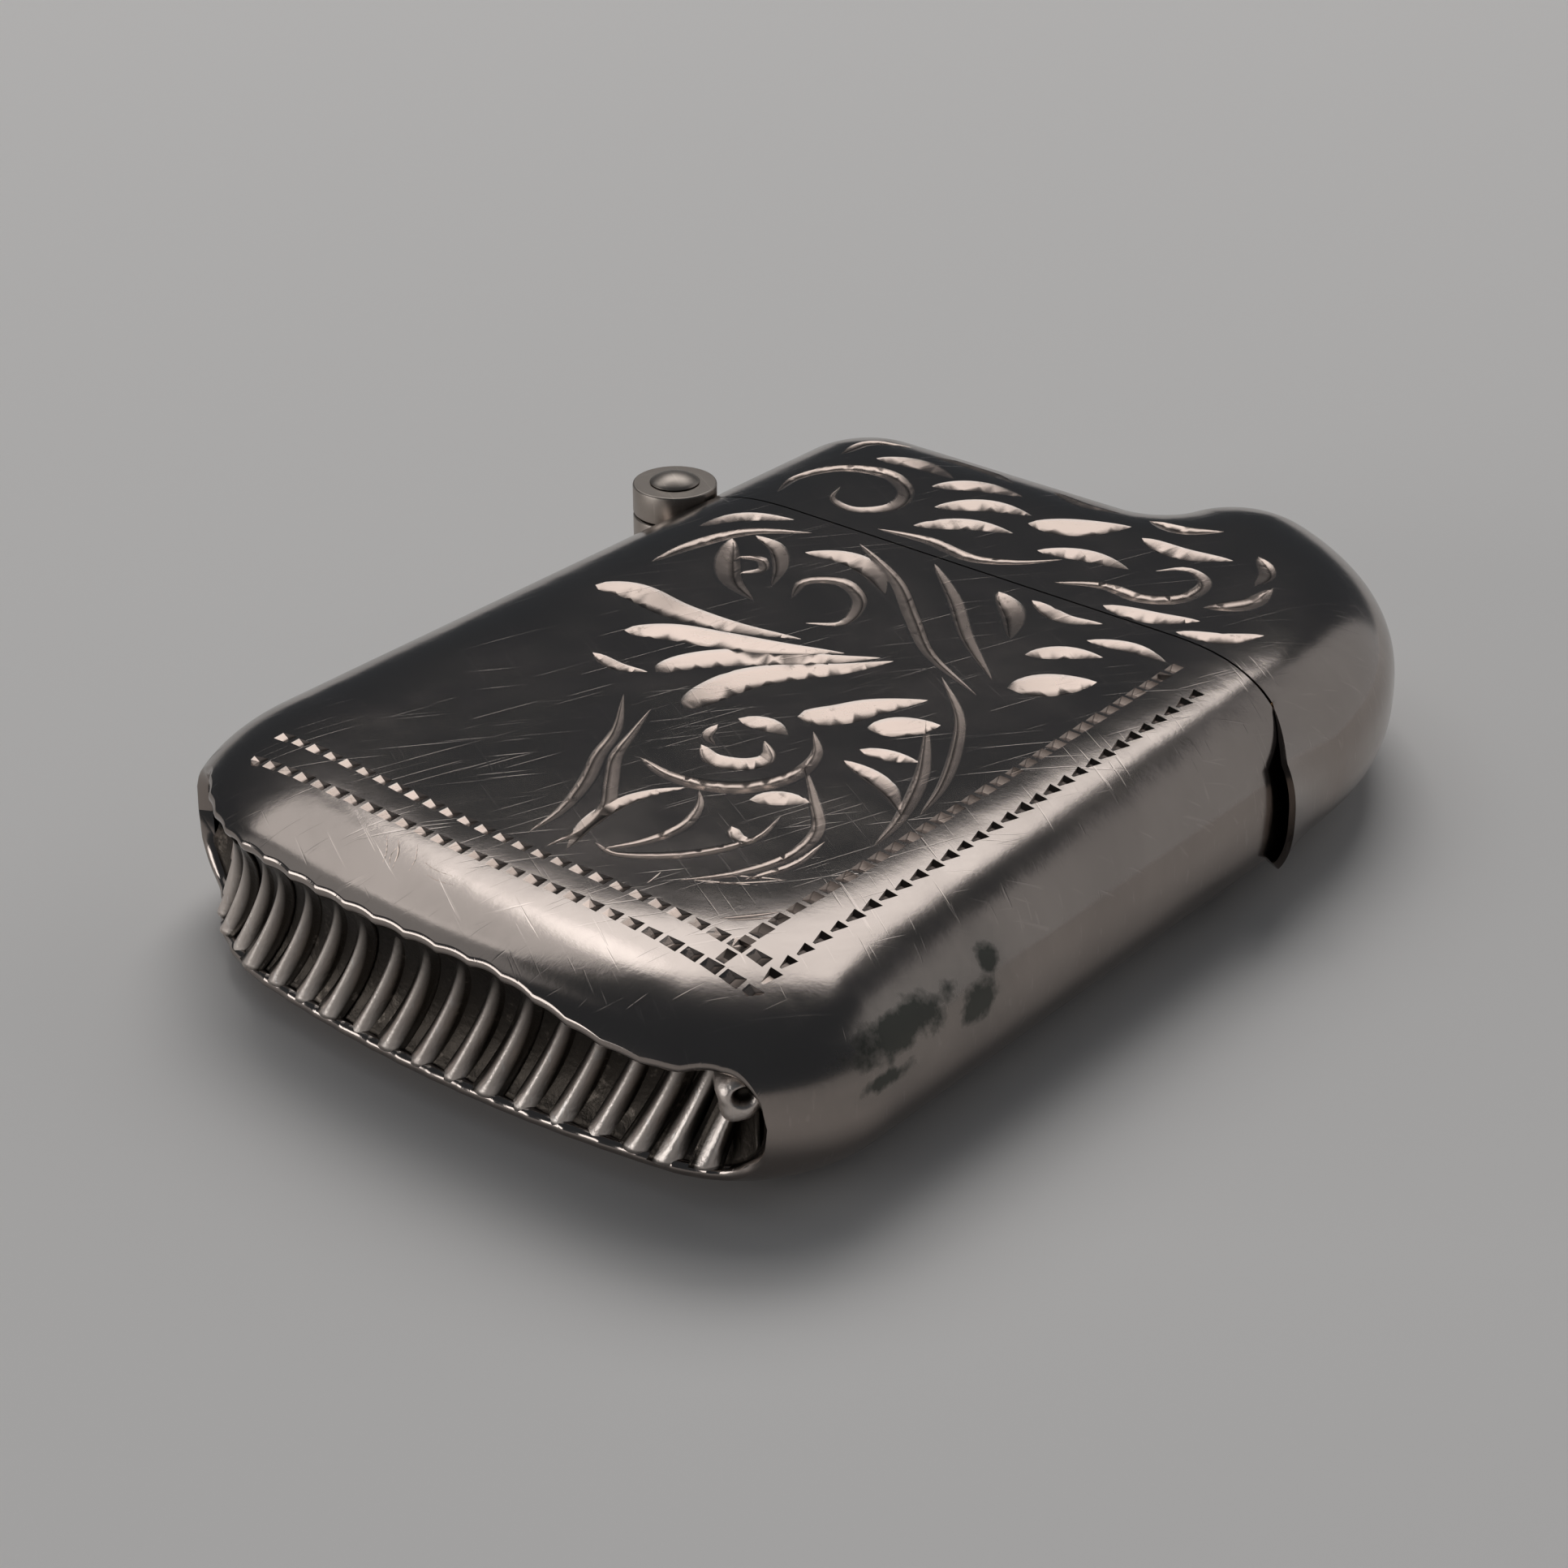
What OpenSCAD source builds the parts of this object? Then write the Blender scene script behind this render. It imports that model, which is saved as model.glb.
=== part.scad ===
// Vesta case: a pocket match case of sheet silver, lying on its back.
// Millimetres. X runs across the case with the hinge at the left, Y from the
// striker end to the lid, Z up. The origin is the middle of the body's flat back.

/* [Case] */
// Width across the two long sides
case_w = 35; // [31:0.5:42]
// Thickness, which the edges round off in full
case_t = 8.5; // [7.6:0.1:9.5]
// Length of the body from the striker end to the mouth
body_len = 36.9; // [31:0.1:45]
// Radius in plan of the striker end's corner below the hinge
hinge_corner_r = 10.5; // [9:0.1:12]
// Radius in plan of the striker end's corner on the thumb side
thumb_corner_r = 7; // [6.5:0.1:8]
// Radius in plan of the bowed striker end
end_bow_r = 60; // [52:1:70]
// Thickness of the sheet
wall = 0.6; // [0.5:0.05:0.75]

/* [Mouth] */
// Gap between the body and the closed lid
seam_gap = 0.1; // [0.06:0.02:0.2]
// Width of the seam's dip, from the thumb side inwards
dip_w = 8; // [6.5:0.1:8.4]
// Radius of the dip on the body's edge
body_dip_r = 9.4; // [9:0.1:9.8]
// Radius of the dip on the lid's edge, larger so that a nail can get in
lid_dip_r = 10.6; // [10.2:0.1:12]
// Thickness of the collar inside the mouth
collar_t = 0.4; // [0.3:0.05:0.5]
// Room between the collar and the walls around it
collar_clear = 0.12; // [0.08:0.01:0.2]
// Height of the collar above the mouth
collar_rise = 1.5; // [1:0.1:2]
// Depth of the collar below the mouth
collar_seat = 5; // [4.5:0.1:7]

/* [Lid] */
// Length of the lid on its hinge side
lid_len = 13; // [12:0.1:14]
// Radius in plan of the lid's corner on the hinge side
lid_corner_r = 4.9; // [4.8:0.1:6]
// Height of the thumb lobe's centre above the mouth
lobe_up = 0.6; // [0.2:0.1:1]
// Angle at which the thumb lobe turns back, from the thumb side round to the hinge
lobe_angle = 66; // [62:1:70]
// Radius in plan of the thumb lobe's tip
tip_r = 4.8; // [4.8:0.1:5.4]
// Radius in plan of the cleft between the lobe and the far edge
cleft_r = 1; // [0.6:0.1:1.5]

/* [Thumb lip] */
// How far the lip stands proud of the lid at its edge
lip_rise = 1.1; // [0.8:0.1:1.3]
// Height of the lip above the mouth
lip_len = 0.9; // [0.6:0.1:0.9]
// Half of the angle that the lip goes round the side
lip_half_angle = 62; // [50:1:66]

/* [Hinge] */
// Diameter of the barrel
barrel_d = 3.9; // [3.4:0.1:4.2]
// Length of the barrel
barrel_len = 7.4; // [6:0.1:7.6]
// Distance of the hinge axis outside the long side
hinge_out = 0.2; // [0.1:0.05:0.4]
// Gap between neighbouring knuckles
knuckle_gap = 0.08; // [0.04:0.02:0.12]
// Room round a knuckle in the sheet that swings past it
swing_clear = 0.25; // [0.2:0.05:0.4]
// Film of solder between a knuckle and the sheet that carries it
solder_gap = 0.02; // [0.01:0.01:0.04]
// Diameter of the pin
pin_d = 1.3; // [1.1:0.1:1.6]
// Room round the pin in the knuckles, on the radius
pin_clear = 0.03; // [0.02:0.01:0.06]
// Diameter of the pin's closed heads
head_d = 2.4; // [2:0.1:2.8]
// Height of the pin's closed heads
head_h = 0.4; // [0.3:0.05:0.45]

/* [Striker] */
// Height of the striker's opening
striker_h = 5.6; // [4.8:0.1:6]
// Depth of the hollow striker behind its rim
cove_depth = 1.1; // [1:0.05:1.4]
// Thickness of the striker strip
strip_t = 0.5; // [0.4:0.05:0.6]
// Number of ribs
rib_count = 21; // [17:1:22]
// Distance from one rib to the next along the end
rib_pitch = 1.6; // [1.4:0.05:1.65]
// Lean of the ribs from upright, their front ends towards the thumb side
rib_lean = 23; // [0:1:28]
// Height of a rib
rib_h = 0.5; // [0.3:0.05:0.55]
// Place of the striker's middle along the end, on the thumb side of the case's own
striker_shift = -0.8; // [-1.2:0.1:0]
// Room round the strip in its opening
strip_fit = 0.05; // [0.03:0.01:0.08]
// Length over which the opening narrows at each end
end_taper = 3; // [2:0.1:3.2]

/* [Hidden] */

silver = "silver";
gilt = "gold";
past = 1;
round_fn = 96;
edge_steps = 10;
blank_steps = 6;
open_steps = 18;
least_open = 2;
bow_steps = 8;
lobe_steps = 14;
tip_steps = 10;
cleft_steps = 8;
shoulder_steps = 9;
steps_per_rib = 6;
cove_steps = 8;

// Edge rounding of the outside and the inside
edge_r = case_t / 2;
inner_r = edge_r - wall;
mid_z = edge_r;
side_x = case_w / 2 - edge_r;
dip_x = case_w / 2 - dip_w;
mouth_y = body_len / 2;
end_y = -body_len / 2;

// Corners of the striker end, touching the long sides and the bow. The side is -1 for
// the hinge and 1 for the thumb.
bow_y = end_y + end_bow_r;
function corner_r(side) = side < 0 ? hinge_corner_r : thumb_corner_r;
function corner_out(side) = case_w / 2 - corner_r(side);
function corner_in(side) = end_bow_r - corner_r(side);
function corner(side) = [side * corner_out(side), bow_y - sqrt(pow(corner_in(side), 2) - pow(corner_out(side), 2))];
function bow_half(side) = asin(corner_out(side) / corner_in(side));
function bow_arc(side) = end_bow_r * bow_half(side) * PI / 180;

// How far the striker's opening goes round a corner
function open_turn(side) =
    let (beyond = striker_arc + side * striker_shift - bow_arc(side))
    bow_half(side) + max(least_open, beyond / corner_r(side) * 180 / PI);

// Lid: a square shoulder on the hinge side and a round lobe on the thumb side
far_y = mouth_y + lid_len;
shoulder = [-case_w / 2 + lid_corner_r, far_y - lid_corner_r];
lobe = [0, mouth_y + lobe_up];
lobe_r = case_w / 2;
tip = lobe + (lobe_r - tip_r) * unit(lobe_angle);
cleft_y = far_y + cleft_r;
cleft = [tip.x - sqrt(pow(tip_r + cleft_r, 2) - pow(cleft_y - tip.y, 2)), cleft_y];
tip_end = atan2(cleft.y - tip.y, cleft.x - tip.x);
tongue_y = mouth_y - body_dip_r / 2;

// Hinge
hinge_x = -case_w / 2 - hinge_out;
knuckle_count = 5;
knuckle_pitch = barrel_len / knuckle_count;
body_knuckles = [0, 2, 4];
lid_knuckles = [1, 3];

// Striker: a hollow swept along the end
rim_power = 2.5;
rib_power = 4;
end_trim = 0.02;
cove_r = (pow(striker_h / 2, 2) + pow(cove_depth, 2)) / (2 * cove_depth);
striker_arc = rib_count * rib_pitch / 2 + rib_pitch / 2;

function unit(angle) = [cos(angle), sin(angle)];

// Points along an arc of the outline, each with the direction that faces outwards.
// They lie on the line round which the edge is rounded, edge_r inside the outline.
function bend(centre, outline_r, from, to, steps) = [
    for (i = [0 : steps])
        let (angle = from + (to - from) * i / steps)
        concat(centre + (outline_r - edge_r) * unit(angle), angle)
];

// The same for an arc that is hollow in plan
function hollow_bend(centre, outline_r, from, to, steps) = [
    for (i = [0 : steps])
        let (angle = from + (to - from) * i / steps)
        concat(centre - (outline_r + edge_r) * unit(angle), angle)
];

// A list without its first item, which the list before it already ends on
function rest(list) = [for (i = [1 : len(list) - 1]) list[i]];

// Outline of the body, from the mouth on the hinge side round the end to the mouth
body_path = concat(
    [[-side_x, mouth_y - seam_gap / 2, 180]],
    bend(corner(-1), corner_r(-1), 180, 270 - open_turn(-1), blank_steps),
    rest(bend(corner(-1), corner_r(-1), 270 - open_turn(-1), 270 - bow_half(-1), open_steps)),
    rest(bend([0, bow_y], end_bow_r, 270 - bow_half(-1), 270 + bow_half(1), bow_steps)),
    rest(bend(corner(1), corner_r(1), 270 + bow_half(1), 270 + open_turn(1), open_steps)),
    rest(bend(corner(1), corner_r(1), 270 + open_turn(1), 360, blank_steps)),
    [[side_x, mouth_y - seam_gap / 2, 360]]
);

// Outline of the lid, from its tongue on the thumb side round to the hinge side
lid_path = concat(
    [[side_x, tongue_y, 0]],
    bend(lobe, lobe_r, 0, lobe_angle, lobe_steps),
    rest(bend(tip, tip_r, lobe_angle, tip_end, tip_steps)),
    rest(hollow_bend(cleft, cleft_r, tip_end, 90, cleft_steps)),
    bend(shoulder, lid_corner_r, 90, 180, shoulder_steps),
    [[-side_x, tongue_y, 180]]
);

// Distance along the striker end, from the middle to the thumb side, where it faces an angle
function end_arc(angle) =
    let (side = angle < 270 ? -1 : 1, turn = abs(angle - 270))
    side * (
        turn < bow_half(side)
            ? turn * end_bow_r * PI / 180
            : bow_arc(side) + (turn - bow_half(side)) * corner_r(side) * PI / 180
    );

// Share of the striker's full height that its opening has at a distance along the end
function opening_share(arc) =
    let (t = max(0, (abs(arc - striker_shift) - striker_arc + end_taper) / end_taper))
    t < 1 ? pow(1 - pow(t, rim_power), 1 / rim_power) : 0;

// One half of a hollow shell: the outline's edge rounded up into a flat face.
// starts holds the height above the middle at which the edge begins at each point.
module half_shell(path, starts) {
    n = len(path);
    m = edge_steps + 1;
    points = [
        for (rad = [edge_r, inner_r])
            for (i = [0 : n - 1])
                let (low = asin(starts[i] / rad))
                for (j = [0 : edge_steps])
                    let (rise = low + (90 - low) * j / edge_steps)
                    concat([path[i].x, path[i].y] + rad * cos(rise) * unit(path[i][2]), rad * sin(rise))
    ];
    outer = function(i, j) i * m + j;
    inner = function(i, j) n * m + i * m + j;
    faces = concat(
        [
            for (i = [0 : n - 2])
                for (j = [0 : edge_steps - 1])
                    [outer(i, j), outer(i, j + 1), outer(i + 1, j + 1), outer(i + 1, j)]
        ],
        [
            for (i = [0 : n - 2])
                for (j = [0 : edge_steps - 1])
                    [inner(i, j), inner(i + 1, j), inner(i + 1, j + 1), inner(i, j + 1)]
        ],
        [for (i = [0 : n - 2]) [outer(i, 0), outer(i + 1, 0), inner(i + 1, 0), inner(i, 0)]],
        [concat(outer(0, edge_steps), [for (i = [n - 1 : -1 : 1]) outer(i, edge_steps)])],
        [[for (i = [0 : n - 1]) inner(i, edge_steps)]],
        [
            for (j = [0 : edge_steps - 1])
                [outer(0, j + 1), outer(0, j), inner(0, j), inner(0, j + 1)]
        ],
        [
            for (j = [0 : edge_steps - 1])
                [outer(n - 1, j), outer(n - 1, j + 1), inner(n - 1, j + 1), inner(n - 1, j)]
        ],
        [[outer(n - 1, edge_steps), outer(0, edge_steps), inner(0, edge_steps), inner(n - 1, edge_steps)]]
    );
    polyhedron(points, faces);
}

// Section across the case, with both long sides rounded
module cross_section(rad) {
    square([2 * side_x, 2 * rad], center = true);
    for (side = [-1, 1])
        translate([side * side_x, 0])
            circle(rad, $fn = round_fn);
}

// Length of the case between two places, with both long sides rounded
module straight_run(rad, from_y, to_y) {
    translate([0, to_y, 0])
        rotate([90, 0, 0])
            linear_extrude(to_y - from_y)
                cross_section(rad);
}

// Corner of the body that makes way for the dip of the lid
module body_dip() {
    translate([dip_x, mouth_y - seam_gap / 2 - body_dip_r, -case_t])
        linear_extrude(2 * case_t)
            difference() {
                square([case_w, 2 * body_dip_r]);
                circle(body_dip_r, $fn = round_fn);
            }
}

// Space that the body takes up under the lid's edge
module under_lid() {
    translate([-case_w, mouth_y - case_w, -case_t])
        cube([case_w + dip_x, case_w + seam_gap / 2, 2 * case_t]);
    translate([dip_x, mouth_y + seam_gap / 2 - lid_dip_r, -case_t])
        cylinder(h = 2 * case_t, r = lid_dip_r, $fn = round_fn);
}

// Places the knuckle of the given number, counted from the back
module at_knuckle(index) {
    translate([hinge_x, mouth_y, -barrel_len / 2 + (index + 0.5) * knuckle_pitch])
        children();
}

// Notch in the sheet for the barrel, tight round its own knuckles
module hinge_notch(own) {
    for (index = [0 : knuckle_count - 1]) {
        mine = len(search(index, own)) > 0;
        room = mine ? solder_gap : swing_clear;
        height = knuckle_pitch + (mine ? 0 : 2 * knuckle_gap);
        at_knuckle(index)
            cylinder(h = height, d = barrel_d + 2 * room, center = true, $fn = round_fn);
    }
}

// One tube of the hinge
module knuckle(index) {
    translate([0, 0, mid_z])
        at_knuckle(index)
            difference() {
                cylinder(h = knuckle_pitch - knuckle_gap, d = barrel_d, center = true, $fn = round_fn);
                cylinder(h = barrel_len, d = pin_d + 2 * pin_clear, center = true, $fn = round_fn);
            }
}

// Front half of the body's sheet
module body_half() {
    difference() {
        half_shell(body_path, [for (at = body_path) striker_h / 2 * opening_share(end_arc(at[2]))]);
        body_dip();
        hinge_notch(body_knuckles);
    }
}

// Front half of the lid's sheet
module lid_half() {
    difference() {
        half_shell(lid_path, [for (at = lid_path) 0]);
        under_lid();
        hinge_notch(lid_knuckles);
    }
}

module body_front() {
    color(silver)
        translate([0, 0, mid_z])
            body_half();
}

module body_back() {
    color(silver)
        translate([0, 0, mid_z])
            mirror([0, 0, 1])
                body_half();
}

module lid_front() {
    color(silver)
        translate([0, 0, mid_z])
            lid_half();
}

module lid_back() {
    color(silver)
        translate([0, 0, mid_z])
            mirror([0, 0, 1])
                lid_half();
}

// Place on the outline at a distance along the striker end, and the way that it faces
function on_end(arc) =
    let (side = arc < 0 ? -1 : 1, turn = (abs(arc) - bow_arc(side)) / corner_r(side) * 180 / PI)
    turn > 0
        ? let (angle = 270 + side * (bow_half(side) + turn))
            concat(corner(side) + corner_r(side) * unit(angle), angle)
        : let (angle = 270 + arc / end_bow_r * 180 / PI)
            concat([0, bow_y] + end_bow_r * unit(angle), angle);

// Height of the leaning ribs at a place on the strip: narrow backs and wide valleys
function rib_at(arc, up) =
    let (from_middle = arc - striker_shift - up * tan(rib_lean))
    rib_h * pow(cos(180 * (from_middle / rib_pitch + rib_count / 2 - 0.5)), rib_power);

// One section of the strip: the ribbed hollow in front, then its back, as a loop
function strip_section(arc) =
    let (
        share = opening_share(arc),
        at = on_end(arc),
        half_h = striker_h / 2 * share,
        rim = edge_r - sqrt(pow(edge_r, 2) - pow(half_h, 2)),
        axis = (cove_r - cove_depth) * share - rim,
        back_r = cove_r * share + strip_t,
        front_turn = asin(min(1, (half_h - strip_fit) / (cove_r * share))),
        back_turn = asin((half_h - strip_fit) / back_r),
        turns = [for (j = [0 : cove_steps]) 2 * j / cove_steps - 1],
        front = [
            for (t = turns)
                let (turn = t * front_turn)
                [(cove_r - rib_at(arc, cove_r * sin(turn))) * share, turn]
        ],
        back = [for (t = turns) [back_r, -t * back_turn]]
    )
    [
        for (k = concat(front, back))
            concat([at.x, at.y] + (axis - k[0] * cos(k[1])) * unit(at[2]), k[0] * sin(k[1]))
    ];

module striker() {
    reach = striker_arc - strip_fit - end_taper * end_trim;
    count = rib_count * steps_per_rib;
    sections = [for (i = [0 : count]) strip_section(striker_shift + reach * (2 * i / count - 1))];
    loop = len(sections[0]);
    color(silver)
        translate([0, 0, mid_z])
            polyhedron(
                [for (section = sections) for (point = section) point],
                concat(
                    [
                        for (i = [0 : count - 1])
                            for (j = [0 : loop - 1])
                                let (k = (j + 1) % loop)
                                [i * loop + j, i * loop + k, (i + 1) * loop + k, (i + 1) * loop + j]
                    ],
                    [
                        for (j = [0 : cove_steps - 1])
                            [loop - 1 - j, loop - 2 - j, j + 1, j]
                    ],
                    [
                        for (j = [0 : cove_steps - 1])
                            [for (k = [j, j + 1, loop - 2 - j, loop - 1 - j]) count * loop + k]
                    ]
                )
            );
}

module mouth_collar() {
    color(gilt)
        translate([0, 0, mid_z])
            difference() {
                straight_run(inner_r - collar_clear, mouth_y - collar_seat, mouth_y + collar_rise);
                straight_run(inner_r - collar_clear - collar_t, mouth_y - collar_seat - past,
                    mouth_y + collar_rise + past);
                translate([hinge_x, mouth_y, 0])
                    cylinder(h = 2 * case_t, d = barrel_d + 2 * swing_clear, center = true, $fn = round_fn);
            }
}

module body_knuckle_front() {
    color(silver)
        knuckle(body_knuckles[2]);
}

module body_knuckle_middle() {
    color(silver)
        knuckle(body_knuckles[1]);
}

module body_knuckle_back() {
    color(silver)
        knuckle(body_knuckles[0]);
}

module lid_knuckle_front() {
    color(silver)
        knuckle(lid_knuckles[1]);
}

module lid_knuckle_back() {
    color(silver)
        knuckle(lid_knuckles[0]);
}

// Pin with a low round head closed over each end of the barrel
module hinge_pin() {
    head_r = (pow(head_d / 2, 2) + pow(head_h, 2)) / (2 * head_h);
    color("darkgray")
        translate([hinge_x, mouth_y, mid_z]) {
            cylinder(h = barrel_len, d = pin_d, center = true, $fn = round_fn);
            for (side = [0, 1])
                mirror([0, 0, side])
                    translate([0, 0, barrel_len / 2])
                        intersection() {
                            translate([0, 0, head_h - head_r])
                                sphere(head_r, $fn = round_fn);
                            cylinder(h = head_h, d = head_d, $fn = round_fn);
                        }
        }
}

// Lip soldered round the thumb side of the lid, flaring towards its edge
module thumb_lip() {
    reach = body_dip_r / 2 + lip_len;
    flare_r = (pow(reach, 2) + pow(lip_rise, 2)) / (2 * lip_rise);
    color(silver)
        translate([0, 0, mid_z])
            difference() {
                translate([side_x, mouth_y, 0])
                    rotate([90, 0, 0])
                        rotate(-lip_half_angle)
                            rotate_extrude(angle = 2 * lip_half_angle, $fn = round_fn)
                                difference() {
                                    translate([edge_r, -lip_len])
                                        square([lip_rise, reach]);
                                    translate([edge_r + flare_r, -lip_len])
                                        circle(flare_r, $fn = 4 * round_fn);
                                }
                under_lid();
            }
}

body_front();
body_back();
striker();
mouth_collar();
body_knuckle_front();
body_knuckle_middle();
body_knuckle_back();
hinge_pin();
lid_front();
lid_back();
lid_knuckle_front();
lid_knuckle_back();
thumb_lip();
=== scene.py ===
# %% [markdown]
# # A silver match case
# A vesta case is a flat pocket box of thin silver for wax matches. The CAD model gives
# its solids and its hinge. This lesson dresses them: engraved sheets with worn, rounded
# edges, a ribbed striker, tarnish and hairline scratches. Sizes are in millimetres until
# a mesh is made, because the real case is measured that way.

# %% Load the frame
import math
from functools import partial

import bmesh
import bpy
import numpy as np
from mathutils import Matrix, Vector, geometry


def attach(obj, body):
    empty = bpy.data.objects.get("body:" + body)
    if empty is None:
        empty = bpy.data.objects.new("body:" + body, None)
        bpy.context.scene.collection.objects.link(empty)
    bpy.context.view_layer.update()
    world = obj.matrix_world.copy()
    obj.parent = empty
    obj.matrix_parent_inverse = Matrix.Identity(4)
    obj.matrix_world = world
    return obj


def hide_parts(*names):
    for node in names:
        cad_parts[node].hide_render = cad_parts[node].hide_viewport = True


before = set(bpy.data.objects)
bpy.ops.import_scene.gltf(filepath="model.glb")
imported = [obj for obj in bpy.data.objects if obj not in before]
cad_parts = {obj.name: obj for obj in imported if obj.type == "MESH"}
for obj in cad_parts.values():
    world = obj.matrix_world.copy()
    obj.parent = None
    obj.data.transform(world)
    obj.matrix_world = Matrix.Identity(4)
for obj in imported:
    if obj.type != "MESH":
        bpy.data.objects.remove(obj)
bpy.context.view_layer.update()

MM = 0.001
print("nodes:", sorted(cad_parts))

# %% [markdown]
# ## The outline
# Seen from above, the body is a rectangle whose striker end is bowed, with round corners.
# The lid has a square shoulder at the hinge and a round lobe for the thumb. Both outlines
# are chains of lines and arcs, so a short list of arcs describes them better than any
# drawing would. Every point also carries the direction that faces outwards.

# %% Sizes of the case
CASE_W, CASE_T, BODY_LEN = 35.0, 8.5, 36.9
HINGE_CORNER_R, THUMB_CORNER_R, BOW_R, WALL = 10.5, 7.0, 60.0, 0.6
EDGE = CASE_T / 2
MOUTH, END = BODY_LEN / 2, -BODY_LEN / 2
HALF_GAP, TRIM = 0.05, 0.02
LID_LEN, SHOULDER_R, TIP_R, CLEFT_R = 13.0, 4.9, 4.8, 1.0
LOBE_UP, LOBE_ANGLE = 0.6, 66.0
NOTCH_REACH, THUMB_SIDE_END = 2.7, (12.8, 13.3)
print("body", CASE_W, "x", BODY_LEN, "x", CASE_T, "mm, lid", LID_LEN, "mm long")


def arc(centre, radius, start, stop, steps):
    """Points and outward directions along an arc. A negative radius is hollow in plan."""
    angle = np.radians(np.linspace(start, stop, steps + 1))
    facing = np.stack([np.cos(angle), np.sin(angle)], 1)
    return np.hstack([np.asarray(centre) + radius * facing, facing])


def side(x, start, stop, steps):
    """Points up or down a straight side, facing away from the middle."""
    y = np.linspace(start, stop, steps + 1)
    return np.stack([np.full_like(y, x), y, np.full_like(y, np.sign(x)), 0 * y], 1)


# %% Outline of the body
def end_corner(sign, radius):
    """Centre of a corner of the striker end, and the angle of the bow up to it."""
    out, reach = CASE_W / 2 - radius, BOW_R - radius
    centre = (sign * out, END + BOW_R - math.sqrt(reach**2 - out**2))
    return centre, math.degrees(math.asin(out / reach))


def body_outline():
    left, left_half = end_corner(-1, HINGE_CORNER_R)
    right, right_half = end_corner(1, THUMB_CORNER_R)
    low, high = THUMB_SIDE_END
    line = np.vstack([
        side(-CASE_W / 2, MOUTH - HALF_GAP, MOUTH - HALF_GAP, 0),
        side(-CASE_W / 2, MOUTH - NOTCH_REACH, left[1], 12)[:-1],
        arc(left, HINGE_CORNER_R, 180, 270 - left_half, 90),
        arc((0, END + BOW_R), BOW_R, 270 - left_half, 270 + right_half, 170)[1:],
        arc(right, THUMB_CORNER_R, 270 + right_half, 360, 130)[1:],
        side(CASE_W / 2, right[1], low, 10)[1:],
        side(CASE_W / 2, high, high, 0),
    ])
    line[:, :2] -= TRIM * line[:, 2:]
    return line


# %% Outline of the lid
def lid_outline():
    far_y = MOUTH + LID_LEN
    lobe = np.array([0, MOUTH + LOBE_UP])
    turn = math.radians(LOBE_ANGLE)
    tip = lobe + (CASE_W / 2 - TIP_R) * np.array([math.cos(turn), math.sin(turn)])
    cleft_y = far_y + CLEFT_R
    back = math.sqrt((TIP_R + CLEFT_R) ** 2 - (cleft_y - tip[1]) ** 2)
    cleft = np.array([tip[0] - back, cleft_y])
    tip_end = math.degrees(math.atan2(cleft[1] - tip[1], cleft[0] - tip[0]))
    shoulder = (-CASE_W / 2 + SHOULDER_R, far_y - SHOULDER_R)
    edge = np.linspace(cleft[0], shoulder[0], 12)[1:-1]
    flat = np.stack([edge, np.full_like(edge, far_y), 0 * edge, np.ones_like(edge)], 1)
    line = np.vstack([
        side(CASE_W / 2, MOUTH - 1, MOUTH - 1, 0),
        arc(lobe, CASE_W / 2, 0, LOBE_ANGLE, 60),
        arc(tip, TIP_R, LOBE_ANGLE, tip_end, 40)[1:],
        arc(cleft, -CLEFT_R, tip_end, 90, 24)[1:],
        flat,
        arc(shoulder, SHOULDER_R, 90, 180, 30),
        side(-CASE_W / 2, shoulder[1], MOUTH + NOTCH_REACH, 8)[1:],
        side(-CASE_W / 2, MOUTH + HALF_GAP, MOUTH + HALF_GAP, 0),
    ])
    line[:, :2] -= TRIM * line[:, 2:]
    return line


body_line, lid_line = body_outline(), lid_outline()
print("outline points:", len(body_line), "body,", len(lid_line), "lid")

# %% [markdown]
# ## The rounded edge
# The sheet bends over at the edge in one soft curve that goes on into the face, as worn
# stamped silver does. A superellipse has that shape: upright at the side, and almost flat
# on top. One formula gives the height at any distance from the outline, so the edge, the
# face and the inside all come from it.

# %% Edge profile
EDGE_W, POWER, RUN_ON = 7.25, 2.6, 99


def rise(depth):
    """Height above the middle of the case at a distance inside the outline."""
    u = np.clip(1 - np.asarray(depth, float) / EDGE_W, 0, 1)
    return EDGE * (1 - u**POWER) ** (1 / POWER)


def slope(depth):
    u = np.clip(1 - np.asarray(depth, float) / EDGE_W, 0, 1)
    return EDGE / EDGE_W * u ** (POWER - 1) * np.maximum(1 - u**POWER, 1e-4) ** (1 / POWER - 1)


def inset_for(height):
    """Distance inside the outline at which the edge reaches a height."""
    return EDGE_W * (1 - (1 - np.clip(height / EDGE, 0, 1) ** POWER) ** (1 / POWER))


def stretches(line, points):
    """For each stretch of a line: its run, each point's share of it, gap and distance."""
    for a, b in zip(line, line[1:]):
        run = b - a
        t = np.clip((points - a) @ run / max(run @ run, 1e-12), 0, 1)
        gap = points - a - t[:, None] * run
        yield run, t, gap, np.hypot(gap[:, 0], gap[:, 1])


def nearest(line, points):
    """Distance from each point to the outline, and the outward direction there."""
    spot = line[:, :2]
    first, last = spot[0] - spot[1], spot[-1] - spot[-2]
    spot = np.vstack([spot[0] + RUN_ON * first, spot, spot[-1] + RUN_ON * last])
    near, away = np.full(len(points), 1e9), np.zeros((len(points), 2))
    for _, _, gap, d in stretches(spot, points):
        hit = d < near
        near[hit] = d[hit]
        away[hit] = -gap[hit] / np.maximum(d[hit], 1e-9)[:, None]
    return near, away


print("edge height at 1, 3 and 6 mm in:", rise([1, 3, 6]).round(2))

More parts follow.
